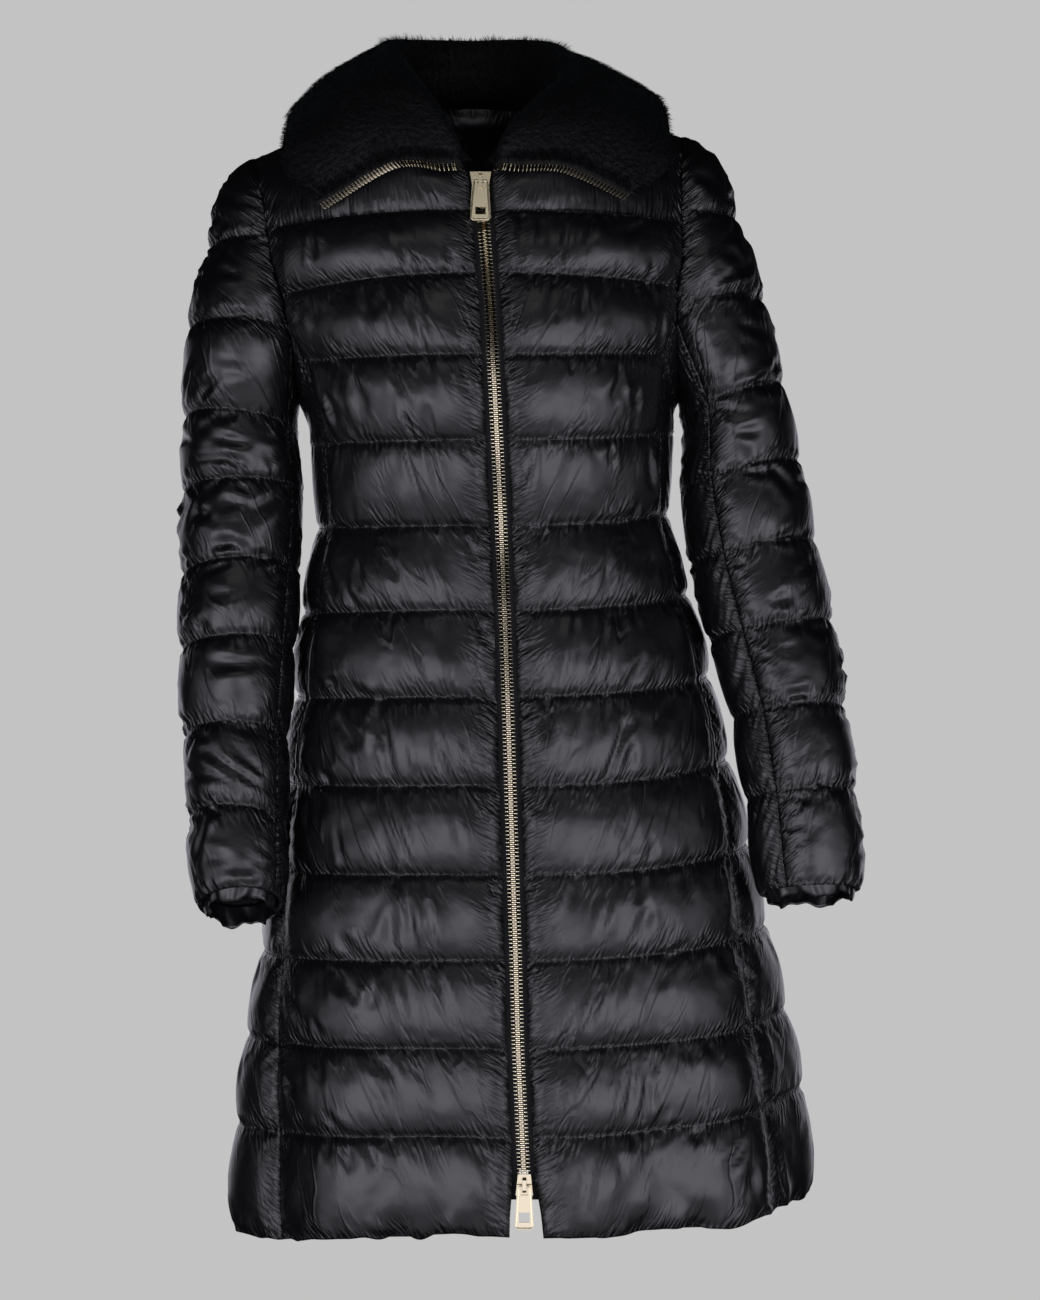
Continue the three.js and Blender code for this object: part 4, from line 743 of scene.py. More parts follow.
# Outer points of a quilted panel with its puckers, and the maps for the nylon
def quilt(base, normals, levels, spec):
    rng = np.random.default_rng(spec["seed"])
    rows, columns = base.shape[:2]
    stepAcross = np.linalg.norm(np.diff(base, axis=1), axis=-1)
    across = np.concatenate([np.zeros((rows, 1)), np.cumsum(stepAcross, 1)], 1)
    width = across[:, -1:]
    stepDown = np.linalg.norm(np.diff(base, axis=0), axis=-1)
    down = np.concatenate([np.zeros((1, columns)), np.cumsum(stepDown, 0)], 0)
    if spec.get("centred"):
        across = across - across[:, columns // 2:columns // 2 + 1]
    left = across - across[:, :1]
    right = across[:, -1:] - across
    line = np.floor(levels + 1e-9)
    v = (levels - line)[:, None]
    edge = np.minimum(left + (1e3 if spec.get("openLeft") else 0), right)
    soft = cloth["seamValley"] * (1 + 0.3 * noise(down / 30 + spec["seed"], 0 * down + 3))
    fullness = swell(v) * np.clip(edge / soft, 0, 1) ** 0.6
    if spec.get("openLeft"):
        fullness *= np.clip((left + 3) / 12, 0, 1) ** 0.5
    lumps = 1 + 0.2 * noise(across / 50 + spec["seed"], down / 60) + 0.15 * noise(across / 22, down / 28 + 9)
    field = spec["puff"](levels)[:, None] * fullness * lumps

    # puckers off each quilting line, up and down
    lines = range(int(math.ceil(levels[0])), int(levels[-1]) + 1)
    for k in lines:
        row = int(np.argmin(np.abs(levels - k)))
        span = float(width[row, 0])
        low = float(across[row, 0])
        middle = down[row]
        place = low
        while place < low + span:
            place += rng.uniform(*linePuckers["pitch"])
            y = float(np.interp(place, across[row], middle))
            for way in (1, -1):
                if rng.random() < linePuckers["skipped"]:
                    continue
                near = min(place - low, low + span - place)
                lean = rng.normal(*linePuckers["lean"]) * (1 if place > 0 or not spec.get("centred") else -1)
                lean += linePuckers["leanAtEdge"] * math.exp(-near / linePuckers["edgeReach"])
                long = rng.uniform(*linePuckers["length"])
                long += (rng.random() < linePuckers["longShare"]) * rng.uniform(*linePuckers["longer"])
                crease = (place, y, way * math.pi / 2 + lean, long, rng.uniform(*linePuckers["width"]),
                          rng.uniform(*linePuckers["depth"]) * spec["pucker"])
                pressCrease(field, across, down, crease)

    # puckers off the side edges, mostly level
    for atEnd in (False, True):
        amount = spec["edges"][atEnd]
        column = -1 if atEnd else 0
        y = float(down[0, 0])
        total = float(down[-1, column])
        while y < total:
            y += rng.uniform(*edgePuckers["pitch"]) / amount
            row = int(np.argmin(np.abs(down[:, column] - y)))
            x = float(across[row, column])
            lean = rng.normal(0, edgePuckers["lean"])
            angle = math.pi + lean if atEnd else lean
            long = rng.uniform(*edgePuckers["length"])
            long += (rng.random() < edgePuckers["longShare"]) * rng.uniform(*edgePuckers["longer"])
            crease = (x, y, angle, long, rng.uniform(*edgePuckers["width"]),
                      rng.uniform(*edgePuckers["depth"]) * spec["pucker"] * min(amount, 1.2))
            pressCrease(field, across, down, crease)

    # longer folds across the channels, where the cloth takes up the bend of the body or the arm
    for k in lines[:-1]:
        rowsHere = np.flatnonzero((levels >= k) & (levels < k + 1))
        span = float(width[rowsHere[0], 0])
        for _ in range(rng.poisson(spec["folds"] * span / 100)):
            row = int(rng.choice(rowsHere))
            x = float(across[row, 0]) + span * rng.beta(1.3, 1.1)
            y = float(np.interp(x, across[row], down[row]))
            turn = spec["foldTurn"] * (1 if x > 0 or not spec.get("centred") else -1)
            angle = turn + rng.normal(0, spec["foldSpread"])
            crease = (x, y, angle, rng.uniform(*bendFolds["length"]), rng.uniform(*bendFolds["width"]),
                      rng.uniform(*bendFolds["depth"]) * spec["foldDepth"])
            pressCrease(field, across, down, crease, True)

    # a quilting line is stitched down, so it stays flat; so do the ends
    flat = np.clip(np.minimum(v, 1 - v) * 14, 0, 1) ** 0.5
    field = field * flat
    field[[0, -1]] = 0
    maps = {"cut": np.stack([np.abs(across) / 1000, np.broadcast_to(levels[:, None], across.shape)], -1),
            "edges": np.stack([left, right], -1) / 1000}
    return base + normals * field[..., None], maps


def cellAreas(grid):
    return np.linalg.norm(np.cross(np.diff(grid, axis=0)[:, :-1], np.diff(grid, axis=1)[:-1]), axis=-1)


# Width, length and area in metres of the flat cut: the longest lines across and down, with the extra
# length that the quilting takes up
def cutOf(base, takeUp=1.04):
    across = np.linalg.norm(np.diff(base, axis=1), axis=-1).sum(1).max() / 1000
    down = np.linalg.norm(np.diff(base, axis=0), axis=-1).sum(0).max() / 1000 * takeUp
    area = min(cellAreas(base).sum() * 1e-6 * takeUp, across * down)
    return (round(across, 3), round(down, 3)), round(area, 4)


# The hem is drawn up by its stitching, so its edge ripples
def rippleHem(base, normals, levels):
    ripple = {"reach": 0.3, "down": 7, "out": 5, "pitch": 17}
    grown = ease((levels - hemLevel + ripple["reach"]) / ripple["reach"])[:, None, None]
    x, y = base[-1, :, 0] / ripple["pitch"], base[-1, :, 1] / ripple["pitch"]
    drop = ripple["down"] * noise(x + 5.2, y + 2.1) * noise(x / 3, y / 3 + 8)
    swing = ripple["out"] * noise(x + 1.7, y + 7.7)
    return base + grown * (normals * swing[None, :, None] - np.array([0, 0, 1]) * drop[None, :, None])


def addPanel(name, grid, normals, levels, spec):
    gap = cloth["seamGap"] / 2
    base = grid if "sleeve" in name else rippleHem(grid, normals, levels)
    grid, base = base, base.copy()
    for edge, beside in ((0, 1), (-1, -2)):
        base[:, edge] += unit(grid[:, beside] - grid[:, edge]) * gap
    outer, maps = quilt(base, normals, levels, spec)
    inner = base - normals * cloth["wall"]
    obj = addWall(name, outer, inner, nylon, cloth["innerStep"], maps)
    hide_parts(name)
    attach(obj, "coat")
    flat, area = cutOf(base)
    print("cut of", name, flat, area)
    panels[name] = {"base": base, "normals": normals, "levels": levels, "outer": outer, "object": obj,
                    "flat": flat, "area": area, "extras": []}


def sharesFor(widest):
    return np.linspace(0, 1, int(widest / cloth["columnPitch"]) + 1)


panels = {}
bodyLevels = levelsBetween(0, hemLevel, cloth["rowsPerChannel"])
sideLevels = levelsBetween(seamLevel, hemLevel, cloth["rowsPerChannel"])
for name, hole in armholes.items():
    side = hole["side"]
    grid = mainGrid(name, True, bodyLevels, sharesFor(190))
    spec = {"seed": 3 + side, "puff": lambda level: cloth["bodyPuff"] * np.where(level < 1, 0.35, 1),
            "folds": 4, "foldTurn": 1.95, "foldSpread": 0.16, "foldDepth": 1.9, "pucker": 1,
            "edges": (1.1, 1), "openLeft": True}
    addPanel(f"front_{name}", grid, gridNormals(grid, side), bodyLevels, spec)
    grid = sideGrid(name, sideLevels, sharesFor(230))
    spec = {"seed": 13 + side, "puff": lambda level: 0.85 * cloth["bodyPuff"] * ease((level - 3.2) / 2.6),
            "folds": 2, "foldTurn": 1.8, "foldSpread": 0.3, "foldDepth": 1.5, "pucker": 0.9, "edges": (1, 1)}
    addPanel(f"side_{name}", grid, gridNormals(grid, side), sideLevels, spec)
halfShares = sharesFor(280)
grid = backGrid(bodyLevels, np.concatenate([-halfShares[::-1], halfShares[1:]]))
spec = {"seed": 21, "puff": lambda level: cloth["bodyPuff"] * np.where(level < 1, 0.5, 1),
        "folds": 3.5, "foldTurn": 1.95, "foldSpread": 0.2, "foldDepth": 1.8, "pucker": 1, "edges": (1, 1),
        "centred": True}
addPanel("back", grid, gridNormals(grid, -1), bodyLevels, spec)
print("body panels made")

sleeveLevels = levelsBetween(0, cuffLevel, cloth["rowsPerChannel"])
underLevels = levelsBetween(seamLevel, cuffLevel, cloth["rowsPerChannel"])
for name, hole in armholes.items():
    side = hole["side"]
    grid = upperGrid(name, sleeveLevels, sharesFor(250))
    spec = {"seed": 31 + side, "puff": lambda level: np.full(len(level), cloth["sleevePuff"]),
            "folds": 9, "foldTurn": 0.2, "foldSpread": 0.45, "foldDepth": 1.7, "pucker": 1.4,
            "edges": (2, 1.8)}
    addPanel(f"sleeve_upper_{name}", grid, gridNormals(grid, side), sleeveLevels, spec)
    grid = underGrid(name, underLevels, sharesFor(130))
    spec = {"seed": 41 + side, "puff": lambda level: 0.8 * cloth["sleevePuff"] * ease((level - 3.2) / 3.2),
            "folds": 5, "foldTurn": 0, "foldSpread": 0.5, "foldDepth": 1.5, "pucker": 1, "edges": (1.6, 1.6)}
    addPanel(f"sleeve_under_{name}", grid, gridNormals(grid, -side), underLevels, spec)
print("sleeves made")


def addExtra(obj, owner):
    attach(obj, "coat")
    panels[owner]["extras"].append(obj)


# Stitches lie as slim eight-sided lenses along lines of points, each half sunk in the cloth
def addStitches(name, lines, owner, pitch=3.2, length=2.5, width=0.55):
    centres, ways, ups = [], [], []
    for points, normals in lines:
        run = runOf(points)
        at = np.arange(pitch / 2, run[-1], pitch)
        centres.append(resample(at, run, points))
        ways.append(unit(resample(at, run, np.gradient(points, run, axis=0))))
        ups.append(unit(resample(at, run, normals)))
    centre, way, up = [np.concatenate(v) for v in (centres, ways, ups)]
    beside = np.cross(way, up)
    points = np.stack([centre - way * length / 2, centre + way * length / 2, centre + up * width,
                       centre + beside * width / 2, centre - up * 0.3, centre - beside * width / 2], 1)
    ring = [2, 3, 4, 5]
    faces = [np.arange(len(centre))[:, None] * len(points[0]) + face for k in range(4)
             for face in ([0, ring[(k + 1) % 4], ring[k]], [1, ring[k], ring[(k + 1) % 4]])]
    addExtra(addMesh(name, points.reshape(-1, 3), np.concatenate(faces), thread), owner)


for name, panel in panels.items():
    rows = [int(np.argmin(np.abs(panel["levels"] - k))) for k in range(1, int(panel["levels"][-1]) + 1)]
    rows = [row for row in rows if row and panel["levels"][row] > panel["levels"][0] + 0.3][:-1]
    addStitches(f"stitches_{name}", [(panel["base"][row] + panel["normals"][row] * 0.3, panel["normals"][row])
                                     for row in rows], name)


# The mouth of the pocket in the seam beside each front: a rolled lip, its ends held by short dense bars of
# thread. The roll is the lift of the last columns of the front, each as a share of the whole lift.
pocket = {"top": -436, "bottom": -566, "lift": 1.6, "wall": 1.0, "beyond": 1.2,
          "roll": ((-5, 0.5), (-4, 1.3), (-3, 1.7), (-2, 1.6), (-1, 1.2)), "barHalf": 5}
for name in armholes:
    panel = panels[f"front_{name}"]
    heights = panel["base"][:, -1, 2]
    rows = np.flatnonzero((heights < pocket["top"]) & (heights > pocket["bottom"]))
    share = np.linspace(0, 1, len(rows))
    lift = pocket["lift"] * np.clip(np.minimum(share, 1 - share) * 14, 0.1, 1)[:, None]
    edge, out = panel["outer"][rows], panel["normals"][rows]
    beyond = unit(panel["base"][rows, -1] - panel["base"][rows, -3])
    lip = [edge[:, k] + out[:, k] * lift * raised for k, raised in pocket["roll"]]
    lip += [edge[:, -1] + beyond * pocket["beyond"] + out[:, -1] * 0.4 * lift]
    lip = np.stack(lip, 1)
    inner = lip - out[:, -6:] * pocket["wall"]
    piece = addWall(f"pocket_lip_{name}", lip, inner, nylon, 1)
    addExtra(piece, f"front_{name}")
    bars = []
    for row in (rows[0], rows[-1]):
        for k in range(-2, 3):
            i = int(np.clip(row + k, 0, len(heights) - 1))
            middle, up = panel["base"][i, -1] + panel["normals"][i, -1] * 2, panel["normals"][i, -1]
            aside = unit(panel["base"][i, -1] - panel["base"][i, -4]) * pocket["barHalf"]
            bars.append((np.stack([middle - aside, middle, middle + aside]), np.stack([up] * 3)))
    addStitches(f"bar_tacks_{name}", bars, f"front_{name}", pitch=4.5, length=5, width=0.8)


# The turned-in end of each sleeve, crumpled by the elastic, shows below the cuff
crumple = {"above": 12, "below": 7, "inset": 4.5, "wave": 2.6, "wall": 0.8}
for name in armholes:
    degrees = np.linspace(0, 360, 161)
    ring = sleevePoint(name, cuffLevel, degrees)
    down = unit(ring - sleevePoint(name, cuffLevel - 0.1, degrees))
    out = unit(ring - ring.mean(0))
    a = np.radians(degrees)
    rows = []
    for t in np.linspace(0, 1, 9):
        wave = np.sin(7 * a + 3 * t) + 0.8 * np.sin(11 * a + 1.3) + 0.4 * np.sin(23 * a + 4 * t)
        wave = wave * crumple["wave"] * t
        uneven = 1 + 0.3 * np.sin(5 * a + 1) + 0.12 * np.sin(13 * a)
        drop = crumple["above"] * (t - 1) + crumple["below"] * t * uneven
        inset = crumple["inset"] + 3 * t * t
        rows.append(ring + down * drop[:, None] + out * (wave * 0.5 - inset)[:, None])
    grid = np.stack(rows)
    piece = addWall(f"cuff_edge_{name}", grid, grid - out * crumple["wall"], nylon, 1)
    addExtra(piece, f"sleeve_upper_{name}")
print("sewing made")


# Collar: one path for each station, from the neckline over the roll to the outer edge
collarTable = columnsOf(collarColumns, collarRows)


def collarPath(stations, steps):
    row = {column: through(values, stations) for column, values in collarTable.items()}
    start = (neckPoint(row["neckAngle"]) + neckTangent(row["neckAngle"]) * collarSizes["lift"]
             - neckNormal(row["neckAngle"]) * collarSizes["wall"])
    roll = np.stack([row["rollX"], row["rollY"], row["rollZ"]], -1)
    middle = np.stack([row["midX"], row["midY"], row["midZ"]], -1)
    edge = np.stack([row["edgeX"], row["edgeY"], row["edgeZ"]], -1)
    stand = row["stand"][:, None]
    r = collarSizes["roll"]
    outward = unit((roll - [neck["middleX"], neck["middleY"], 0]) * [1, 1, 0])
    up = np.array([0, 0, 1])
    before = roll - outward * r * 0.55 * stand - up * r * stand
    after = roll + outward * r * 1.2 * stand - up * r * 0.6 * stand
    points = np.stack([start, mix(mix(start, roll, 0.6), before, stand), roll,
                       mix(mix(roll, middle, 0.25), after, stand), middle, edge])
    return np.stack([[through(points[:, i, k], steps) for k in range(3)] for i in range(len(stations))]
                    ).transpose(0, 2, 1)


stations = np.linspace(0, len(collarRows) - 1, collarSizes["stations"])
collarSteps = np.interp(np.linspace(0, 1, collarSizes["steps"]), [0, 0.12, 0.35, 0.6, 1], [0, 1, 2.3, 4, 5])
collarGrid = collarPath(stations, collarSteps)
collarNormals = gridNormals(collarGrid, 1)
shellSkin = addWall("collar_shell", collarGrid, collarGrid - collarNormals * collarSizes["wall"], nylon, 3)
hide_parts("collar_shell")
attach(shellSkin, "coat")
fromEnd, fromEdge = [np.minimum(np.arange(n), n - 1 - np.arange(n)) for n in collarGrid.shape[:2]]
atRim = np.minimum.outer(fromEnd, fromEdge)
# the backing under the hairs is thin at the rim and rises over four cells
pile = 1.5 + 5.5 * ease(atRim / 4)[..., None]
backing = addWall("collar_fur", collarGrid + collarNormals * pile, collarGrid + collarNormals * 0.3, furry, 3)
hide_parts("collar_fur")
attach(backing, "coat")


# Fur: flat tapering hairs in tufts, combed outwards from the roll. The collar is taken as 620 mm along its
# edge and 118 mm across to size the tufts. Over the last atFront cells at each front edge the hairs turn
# forward over the zip.
hair = {"count": 36000, "length": 11.5, "width": 0.5, "tuft": 5.5, "lean": 0.75, "along": 620, "across": 118,
        "curve": 1.25, "atFront": 9}


def addHairs(name, first, last, seed):
    count = hair["count"]
    rng = np.random.default_rng(seed)
    # roots spread evenly over the surface by choosing cells by their area
    cells = cellAreas(collarGrid)
    use = np.zeros_like(cells)
    use[first:last] = cells[first:last]
    chosen = rng.choice(use.size, count, p=(use / use.sum()).ravel())
    i, j = np.divmod(chosen, cells.shape[1])
    f, g = rng.random(count)[:, None], rng.random(count)[:, None]

    def at(grid):
        return mix(mix(grid[i, j], grid[i + 1, j], f), mix(grid[i, j + 1], grid[i + 1, j + 1], f), g)

    root, normal = at(collarGrid), unit(at(collarNormals))
    comb = unit(at(np.gradient(collarGrid, axis=1)))
    sideways = unit(np.cross(normal, comb))
    # tufts: every hair leans to the middle of the nearest cell of a jittered lattice
    cellSize = hair["tuft"]
    u = (i + f[:, 0]) * hair["along"] / collarSizes["stations"] / cellSize
    w = (j + g[:, 0]) * hair["across"] / collarSizes["steps"] / cellSize
    cu, cw = np.floor(u), np.floor(w)
    du = cu + 0.5 + 0.3 * noise(cu * 7.3 + 0.5, cw * 5.1 + 0.5) - u
    dw = cw + 0.5 + 0.3 * noise(cu * 3.7 + 0.5, cw * 9.1 + 0.5) - w
    pull = 0.5 + 0.35 * noise(u / 3, w / 3)
    length = hair["length"] * (0.86 + 0.16 * rng.random(count) + 0.1 * noise(u / 2.3, w / 2.3 + 7))
    length = length * np.clip(np.minimum(j, cells.shape[1] - 1 - j) / 3, 0.5, 1)
    swirl = 0.5 * noise(u / 5 + 3, w / 5) + 0.15 * rng.normal(size=count)
    lean = hair["lean"] + 0.25 * noise(u / 4, w / 4 + 5) + 0.12 * rng.normal(size=count)
    way = comb * np.cos(swirl)[:, None] + sideways * np.sin(swirl)[:, None]
    # the hairs at the front edges reach forward over the zip
    toEnd = ease(1 - np.minimum(i, len(collarGrid) - 2 - i) / hair["atFront"])
    outwards = unit(at(np.gradient(collarGrid, axis=0))) * np.where(i < len(collarGrid) / 2, -1, 1)[:, None]
    way = unit(way + outwards * 2.5 * toEnd[:, None])
    tuft = (sideways * (du * pull * cellSize)[:, None] * -1 + comb * (dw * pull * cellSize)[:, None])
    turn = rng.uniform(0, math.pi, count)[:, None]
    across = (sideways * np.cos(turn) + comb * np.sin(turn)) * hair["width"] / 2
    points = []
    for share, wide in ((0, 1), (0.38, 0.9), (0.74, 0.62), (1, 0)):
        rise = np.sin(share * hair["curve"]) / np.sin(hair["curve"])
        centre = (root + normal * (length * rise * (1 - 0.22 * share))[:, None]
                  + way * (length * lean * share ** 1.7)[:, None] + tuft * share ** 1.2)
        points += [centre - across * wide, centre + across * wide] if wide else [centre]
    points = np.stack(points, 1).reshape(-1, 3)
    k = np.arange(count)[:, None] * 7
    faces = list(k + [0, 1, 3, 2]) + list(k + [2, 3, 5, 4]) + list(k + [4, 5, 6])
    obj = addMesh(name, points, faces, furry)
    obj.parent = backing
    return obj


hairs = [addHairs("fur_right", 0, 74, 5), addHairs("fur_left", 74, 149, 6)]
print("collar made")


# Zip
def zipCurve(fromZ, toZ, pitch):
    levels = np.linspace(0, hemLevel, 2600)
    points = zipPoint(levels)
    keep = (points[:, 2] <= fromZ) & (points[:, 2] >= toZ)
    levels, points = levels[keep], points[keep]
    run = runOf(points)
    return zipFrames(np.interp(np.arange(0, run[-1], pitch), run, levels))


def zipFrames(levels):
    d = 0.02
    down = unit(zipPoint(np.minimum(levels + d, hemLevel)) - zipPoint(np.maximum(levels - d, 0)))
    normal = unit(np.cross(down, [1, 0, 0]))
    normal = normal * np.where(normal[:, 1:2] < 0, 1, -1)
    return zipPoint(levels), normal, down


# A row of moulded teeth, each clamped on the tape's edge and swelling to a rounded head past the middle
toothSunk = 1.2
toothColumns = "reach half height"
toothRows = [[0, 0.42, 1.6], [1.7, 0.44, 1.7], [2.7, 0.48, 1.9], [3.4, 0.56, 2.5], [5.6, 0.6, 2.7],
             [6.8, 0.5, 2.3], [7.3, 0.36, 1.6]]


def addTeeth(name, places, across, out, downs):
    shape = columnsOf(toothColumns, toothRows)
    ring = np.array([(-1, 0), (-1, 0.55), (-0.55, 1), (0.55, 1), (1, 0.55), (1, 0)])
    count, sides = len(toothRows), len(ring)
    x = np.repeat(shape["reach"], sides)
    d = (shape["half"][:, None] * ring[:, 0]).ravel()
    h = (shape["height"][:, None] * ring[:, 1]).ravel() - toothSunk
    points = (places[:, None] + across[:, None] * x[None, :, None] + downs[:, None] * d[None, :, None]
              + out[:, None] * h[None, :, None]).reshape(-1, 3)
    one = ringFaces(count, sides)
    one += [list(range(sides))[::-1], [(count - 1) * sides + k for k in range(sides)]]
    faces = [[v + n * count * sides for v in face] for n in range(len(places)) for face in one]
    return addMesh(name, points, faces, brass, smooth=False)


# A strip of tape through several offsets from a line, at a depth behind it
def addStrip(name, places, across, out, offsets, depth, thickness, material):
    rows = np.stack([places + across * x - out * depth for x in offsets], 1)
    return addWall(name, rows, rows - out[:, None] * thickness, material, 1)


places, out, downs = zipCurve(zipSizes["topZ"], zipSizes["bottomZ"], zipSizes["pitch"] / 2)
right = np.array([1.0, 0, 0])
chain = []
for side, start in ((1, 0), (-1, 1)):
    pick = slice(start, None, 2)
    root = places[pick] + right * side * zipSizes["chainWidth"] / 2
    root = root - out[pick] * (zipSizes["chainDepth"] + toothSunk)
    inwards = np.repeat([right * -side], len(root), 0)
    chain.append(addTeeth(f"teeth_{'left' if side > 0 else 'right'}", root, inwards, out[pick], downs[pick]))
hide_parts("zip_chain")
for piece in chain:
    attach(piece, "coat")
frontTape = {"topZ": -59.5, "bottomZ": -894, "pitch": 3, "offsets": [3.6, 5.2, 8, 11.3], "behind": 0.6,
             "thickness": 1.0}
tapePlaces, tapeOut = zipCurve(frontTape["topZ"], frontTape["bottomZ"], frontTape["pitch"])[:2]
for side, name in ((1, "left"), (-1, "right")):
    across = np.repeat([right * side], len(tapePlaces), 0)
    strip = addStrip(f"zip_tape_{name}", tapePlaces, across, tapeOut, frontTape["offsets"],
                     cloth["wall"] + frontTape["behind"], frontTape["thickness"], tapeCloth)
    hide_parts(f"zip_tape_{name}")
    addExtra(strip, f"front_{name}")

# The halves of the zip above the top slider lie open along the collar's front edges, their teeth turned
# to the front
collarZip = {"fromStep": 1.25, "toStep": 4.98, "clear": 1, "toFront": (0, -1.1, 0.1), "teethOut": 2.6,
             "teethUp": 1.3, "reach": 0.9, "offsets": [-0.5, 2, 5.5], "behind": 0.9, "thickness": 0.8}
for side, name in ((1, "left"), (-1, "right")):
    end = stations[-1 if side > 0 else 0]
    fineSteps = np.linspace(collarZip["fromStep"], collarZip["toStep"], 500)
    path = collarPath(np.array([end]), fineSteps)[0]
    nextPath = collarPath(np.array([end - 0.2 * side]), fineSteps)[0]
    run = runOf(path)
    at = np.arange(collarZip["clear"], run[-1] - collarZip["clear"], zipSizes["pitch"])
    root = resample(at, run, path)
    away = unit(resample(at, run, unit(path - nextPath)))
    down = unit(resample(at, run, unit(np.gradient(path, axis=0))))
    face = unit(np.cross(down, away)) * side
    face = unit(face + np.array(collarZip["toFront"]))
    teethPlaces = root + away * collarZip["teethOut"] + face * collarZip["teethUp"]
    teeth = addTeeth(f"teeth_collar_{name}", teethPlaces, away * collarZip["reach"], face, down)
    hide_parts(f"zip_collar_{name}")
    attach(teeth, "coat")
    strip = addStrip(f"tape_collar_{name}", root, away, face, collarZip["offsets"], collarZip["behind"],
                     collarZip["thickness"], tapeCloth)
    addExtra(strip, f"front_{name}")

# Sliders and pull tabs keep their solids, with their edges rounded; the bevel's width is in metres
rounding = {"width": 0.0006, "segments": 4, "angle": 35}
for name in ("slider_top", "slider_bottom", "pull_tab_top", "pull_tab_bottom"):
    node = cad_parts[name]
    node.data.materials.clear()
    node.data.materials.append(brass)
    bevel = node.modifiers.new("rounding", "BEVEL")
    bevel.width = rounding["width"]
    bevel.segments = rounding["segments"]
    bevel.limit_method = "ANGLE"
    bevel.angle_limit = math.radians(rounding["angle"])
    bevel.harden_normals = True


# The raised border of a pull tab, found from the tab's own long, wide and thin directions
def addTabBorder(nodeName, bodyName):
    border = {"inset": 1.3, "round": 0.75, "flatness": 0.7, "corner": 2.2, "sunk": 0.1, "nearEnd": 7,
              "sides": 8}
    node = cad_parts[nodeName]
    points = np.array([node.matrix_world @ v.co for v in node.data.vertices]) * 1000
    middle = (points.min(0) + points.max(0)) / 2
    axes = np.linalg.eigh(np.cov((points - points.mean(0)).T))[1]
    thin, wide, long = [axes[:, k] for k in range(3)]
    thin = thin * (1 if thin[1] < 0 else -1)
    long = long * (1 if long[2] < 0 else -1)
    reach = (points - middle) @ long
    half = {}
    for end, near in (("top", reach < reach.min() + border["nearEnd"]),
                      ("bottom", reach > reach.max() - border["nearEnd"])):
        half[end] = np.abs((points[near] - points[near].mean(0)) @ wide).max() - border["inset"]
    top, bottom = reach.min() + border["inset"], reach.max() - border["inset"]
    face = ((points - middle) @ thin).max()
    r = border["corner"]
    corners = [(-half["top"], top), (half["top"], top), (half["bottom"], bottom), (-half["bottom"], bottom)]
    loop = []
    for (x, y), (sx, sy), start in zip(corners, ((1, 1), (-1, 1), (-1, -1), (1, -1)), (180, 270, 0, 90)):
        for a in np.radians(np.linspace(start, start + 90, 6)):
            loop.append([x + sx * r + r * math.cos(a), y + sy * r + r * math.sin(a)])
    loop = np.array(loop)
    centre = middle + wide * loop[:, :1] + long * loop[:, 1:] + thin * (face - border["sunk"])
    beside = np.cross(unit(np.roll(centre, -1, 0) - np.roll(centre, 1, 0)), thin)
    sides, count = border["sides"], len(loop)
    ringPoints = np.stack([centre + beside * border["round"] * math.cos(a)
                           + thin * border["round"] * border["flatness"] * math.sin(a)
                           for a in np.linspace(0, 2 * math.pi, sides, endpoint=False)], 1)
    faces = []
    for i in range(count):
        here, there = i * sides, (i + 1) % count * sides
        faces += [[here + k, there + k, there + (k + 1) % sides, here + (k + 1) % sides]
                  for k in range(sides)]
    obj = addMesh(f"border_{nodeName}", ringPoints.reshape(-1, 3), faces, brass)
    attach(obj, bodyName)


addTabBorder("pull_tab_top", "pull_top")
addTabBorder("pull_tab_bottom", "pull_bottom")
print("zip made")


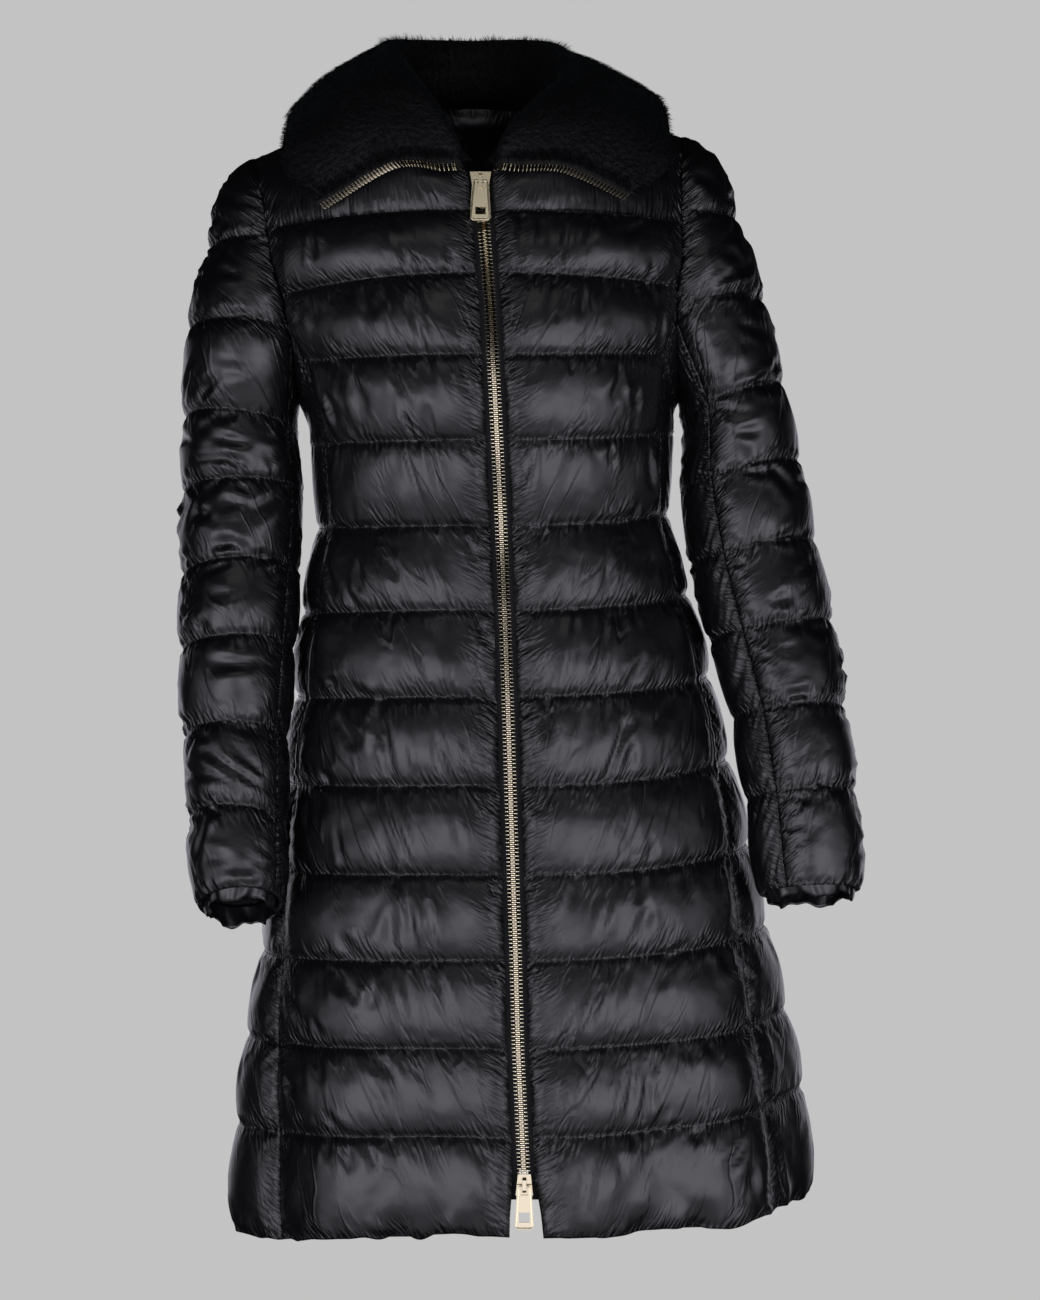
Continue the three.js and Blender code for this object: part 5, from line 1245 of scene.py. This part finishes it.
# Set, lights and camera, in metres. Each light's strength is its radiance, so that its size can be changed.
def addLight(name, place, target, sizes, radiance, tint="#ffffff"):
    light = bpy.data.lights.new(name, "AREA")
    light.shape = "RECTANGLE"
    light.size, light.size_y = sizes
    light.energy = radiance * math.pi * sizes[0] * sizes[1]
    light.color = colour(tint)[:3]
    obj = bpy.data.objects.new(name, light)
    obj.location = place
    obj.rotation_euler = (Vector(target) - Vector(place)).to_track_quat("-Z", "Y").to_euler()
    bpy.context.scene.collection.objects.link(obj)
    obj.visible_camera = False
    obj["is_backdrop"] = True


# A round pale backdrop that curves up from the floor
def addBackdrop():
    drop = {"floor": -1.37, "radius": 5.2, "bend": 1.2, "height": 6.5}
    profile = [(0.001, 0)] + [(r, 0) for r in (1.5, 3, drop["radius"] - drop["bend"])]
    profile += [(drop["radius"] - drop["bend"] * (1 - math.sin(a)), drop["bend"] * (1 - math.cos(a)))
                for a in np.linspace(0.1, math.pi / 2, 10)]
    profile.append((drop["radius"], drop["height"]))
    angles = np.linspace(0, 2 * math.pi, 96, endpoint=False)
    points = [[r * math.cos(t) * 1000, r * math.sin(t) * 1000, (drop["floor"] + z) * 1000]
              for r, z in profile for t in angles]
    # paper that glows evenly, so no light or shadow shows on it
    material = newMaterial("backdrop", Base_Color=colour("#000000"), Roughness=1, Specular_IOR_Level=0,
                           Emission_Color=colour("#c3c3c3"), Emission_Strength=1)[0]
    obj = addMesh("backdrop", points, ringFaces(len(profile), len(angles)), material)
    obj.visible_glossy = False
    obj.visible_diffuse = False
    obj.visible_shadow = False
    obj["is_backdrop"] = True


addBackdrop()
world = bpy.data.worlds.new("dark room")
world.use_nodes = True
background = world.node_tree.nodes["Background"].inputs
background["Color"].default_value = colour("#0c0c0d")
background["Strength"].default_value = 1
bpy.context.scene.world = world
# One row of softboxes round the front and a weaker row behind, by degrees from the front, a strip above,
# and a pale floor
middleX = 0.04
lightRows = [[-62, 1.0], [-31, 2.9], [0, 1.3], [31, 2.9], [62, 1.0], [150, 0.9], [180, 1.1], [210, 0.9]]
softbox = {"radius": 3.3, "sizes": (1.95, 1.7), "middle": -0.8}
highStrip = {"place": (middleX, -2.6, 2.0), "target": (middleX, 0, -0.3), "sizes": (2.2, 0.5),
             "radiance": 1.4}
floorBounce = {"place": (middleX, -1.8, -1.35), "target": (middleX, -1.8, 0), "sizes": (4.5, 2.8),
               "radiance": 0.45, "tint": "#f3f3ff"}
for azimuth, radiance in lightRows:
    a = math.radians(azimuth)
    spot = (middleX + softbox["radius"] * math.sin(a), -softbox["radius"] * math.cos(a), softbox["middle"])
    target = (middleX, 0, softbox["middle"])
    addLight(f"softbox_{azimuth}", spot, target, softbox["sizes"], radiance, "#f3f3ff")
addLight("high_strip", **highStrip)
addLight("floor_bounce", **floorBounce)

view = {"lens": 97.7, "sensor": 36, "place": (0.044, -3.0, -0.287), "lookDown": 3.24}
camera = bpy.data.cameras.new("camera")
camera.lens = view["lens"]
camera.sensor_width = view["sensor"]
cameraObject = bpy.data.objects.new("camera", camera)
cameraObject.location = view["place"]
cameraObject.rotation_euler = (math.radians(90 - view["lookDown"]), 0, 0)
bpy.context.scene.collection.objects.link(cameraObject)
bpy.context.scene.camera = cameraObject
bpy.context.scene.view_settings.view_transform = "Standard"
print("set, lights and camera placed")

size += [list(corner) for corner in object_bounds()]
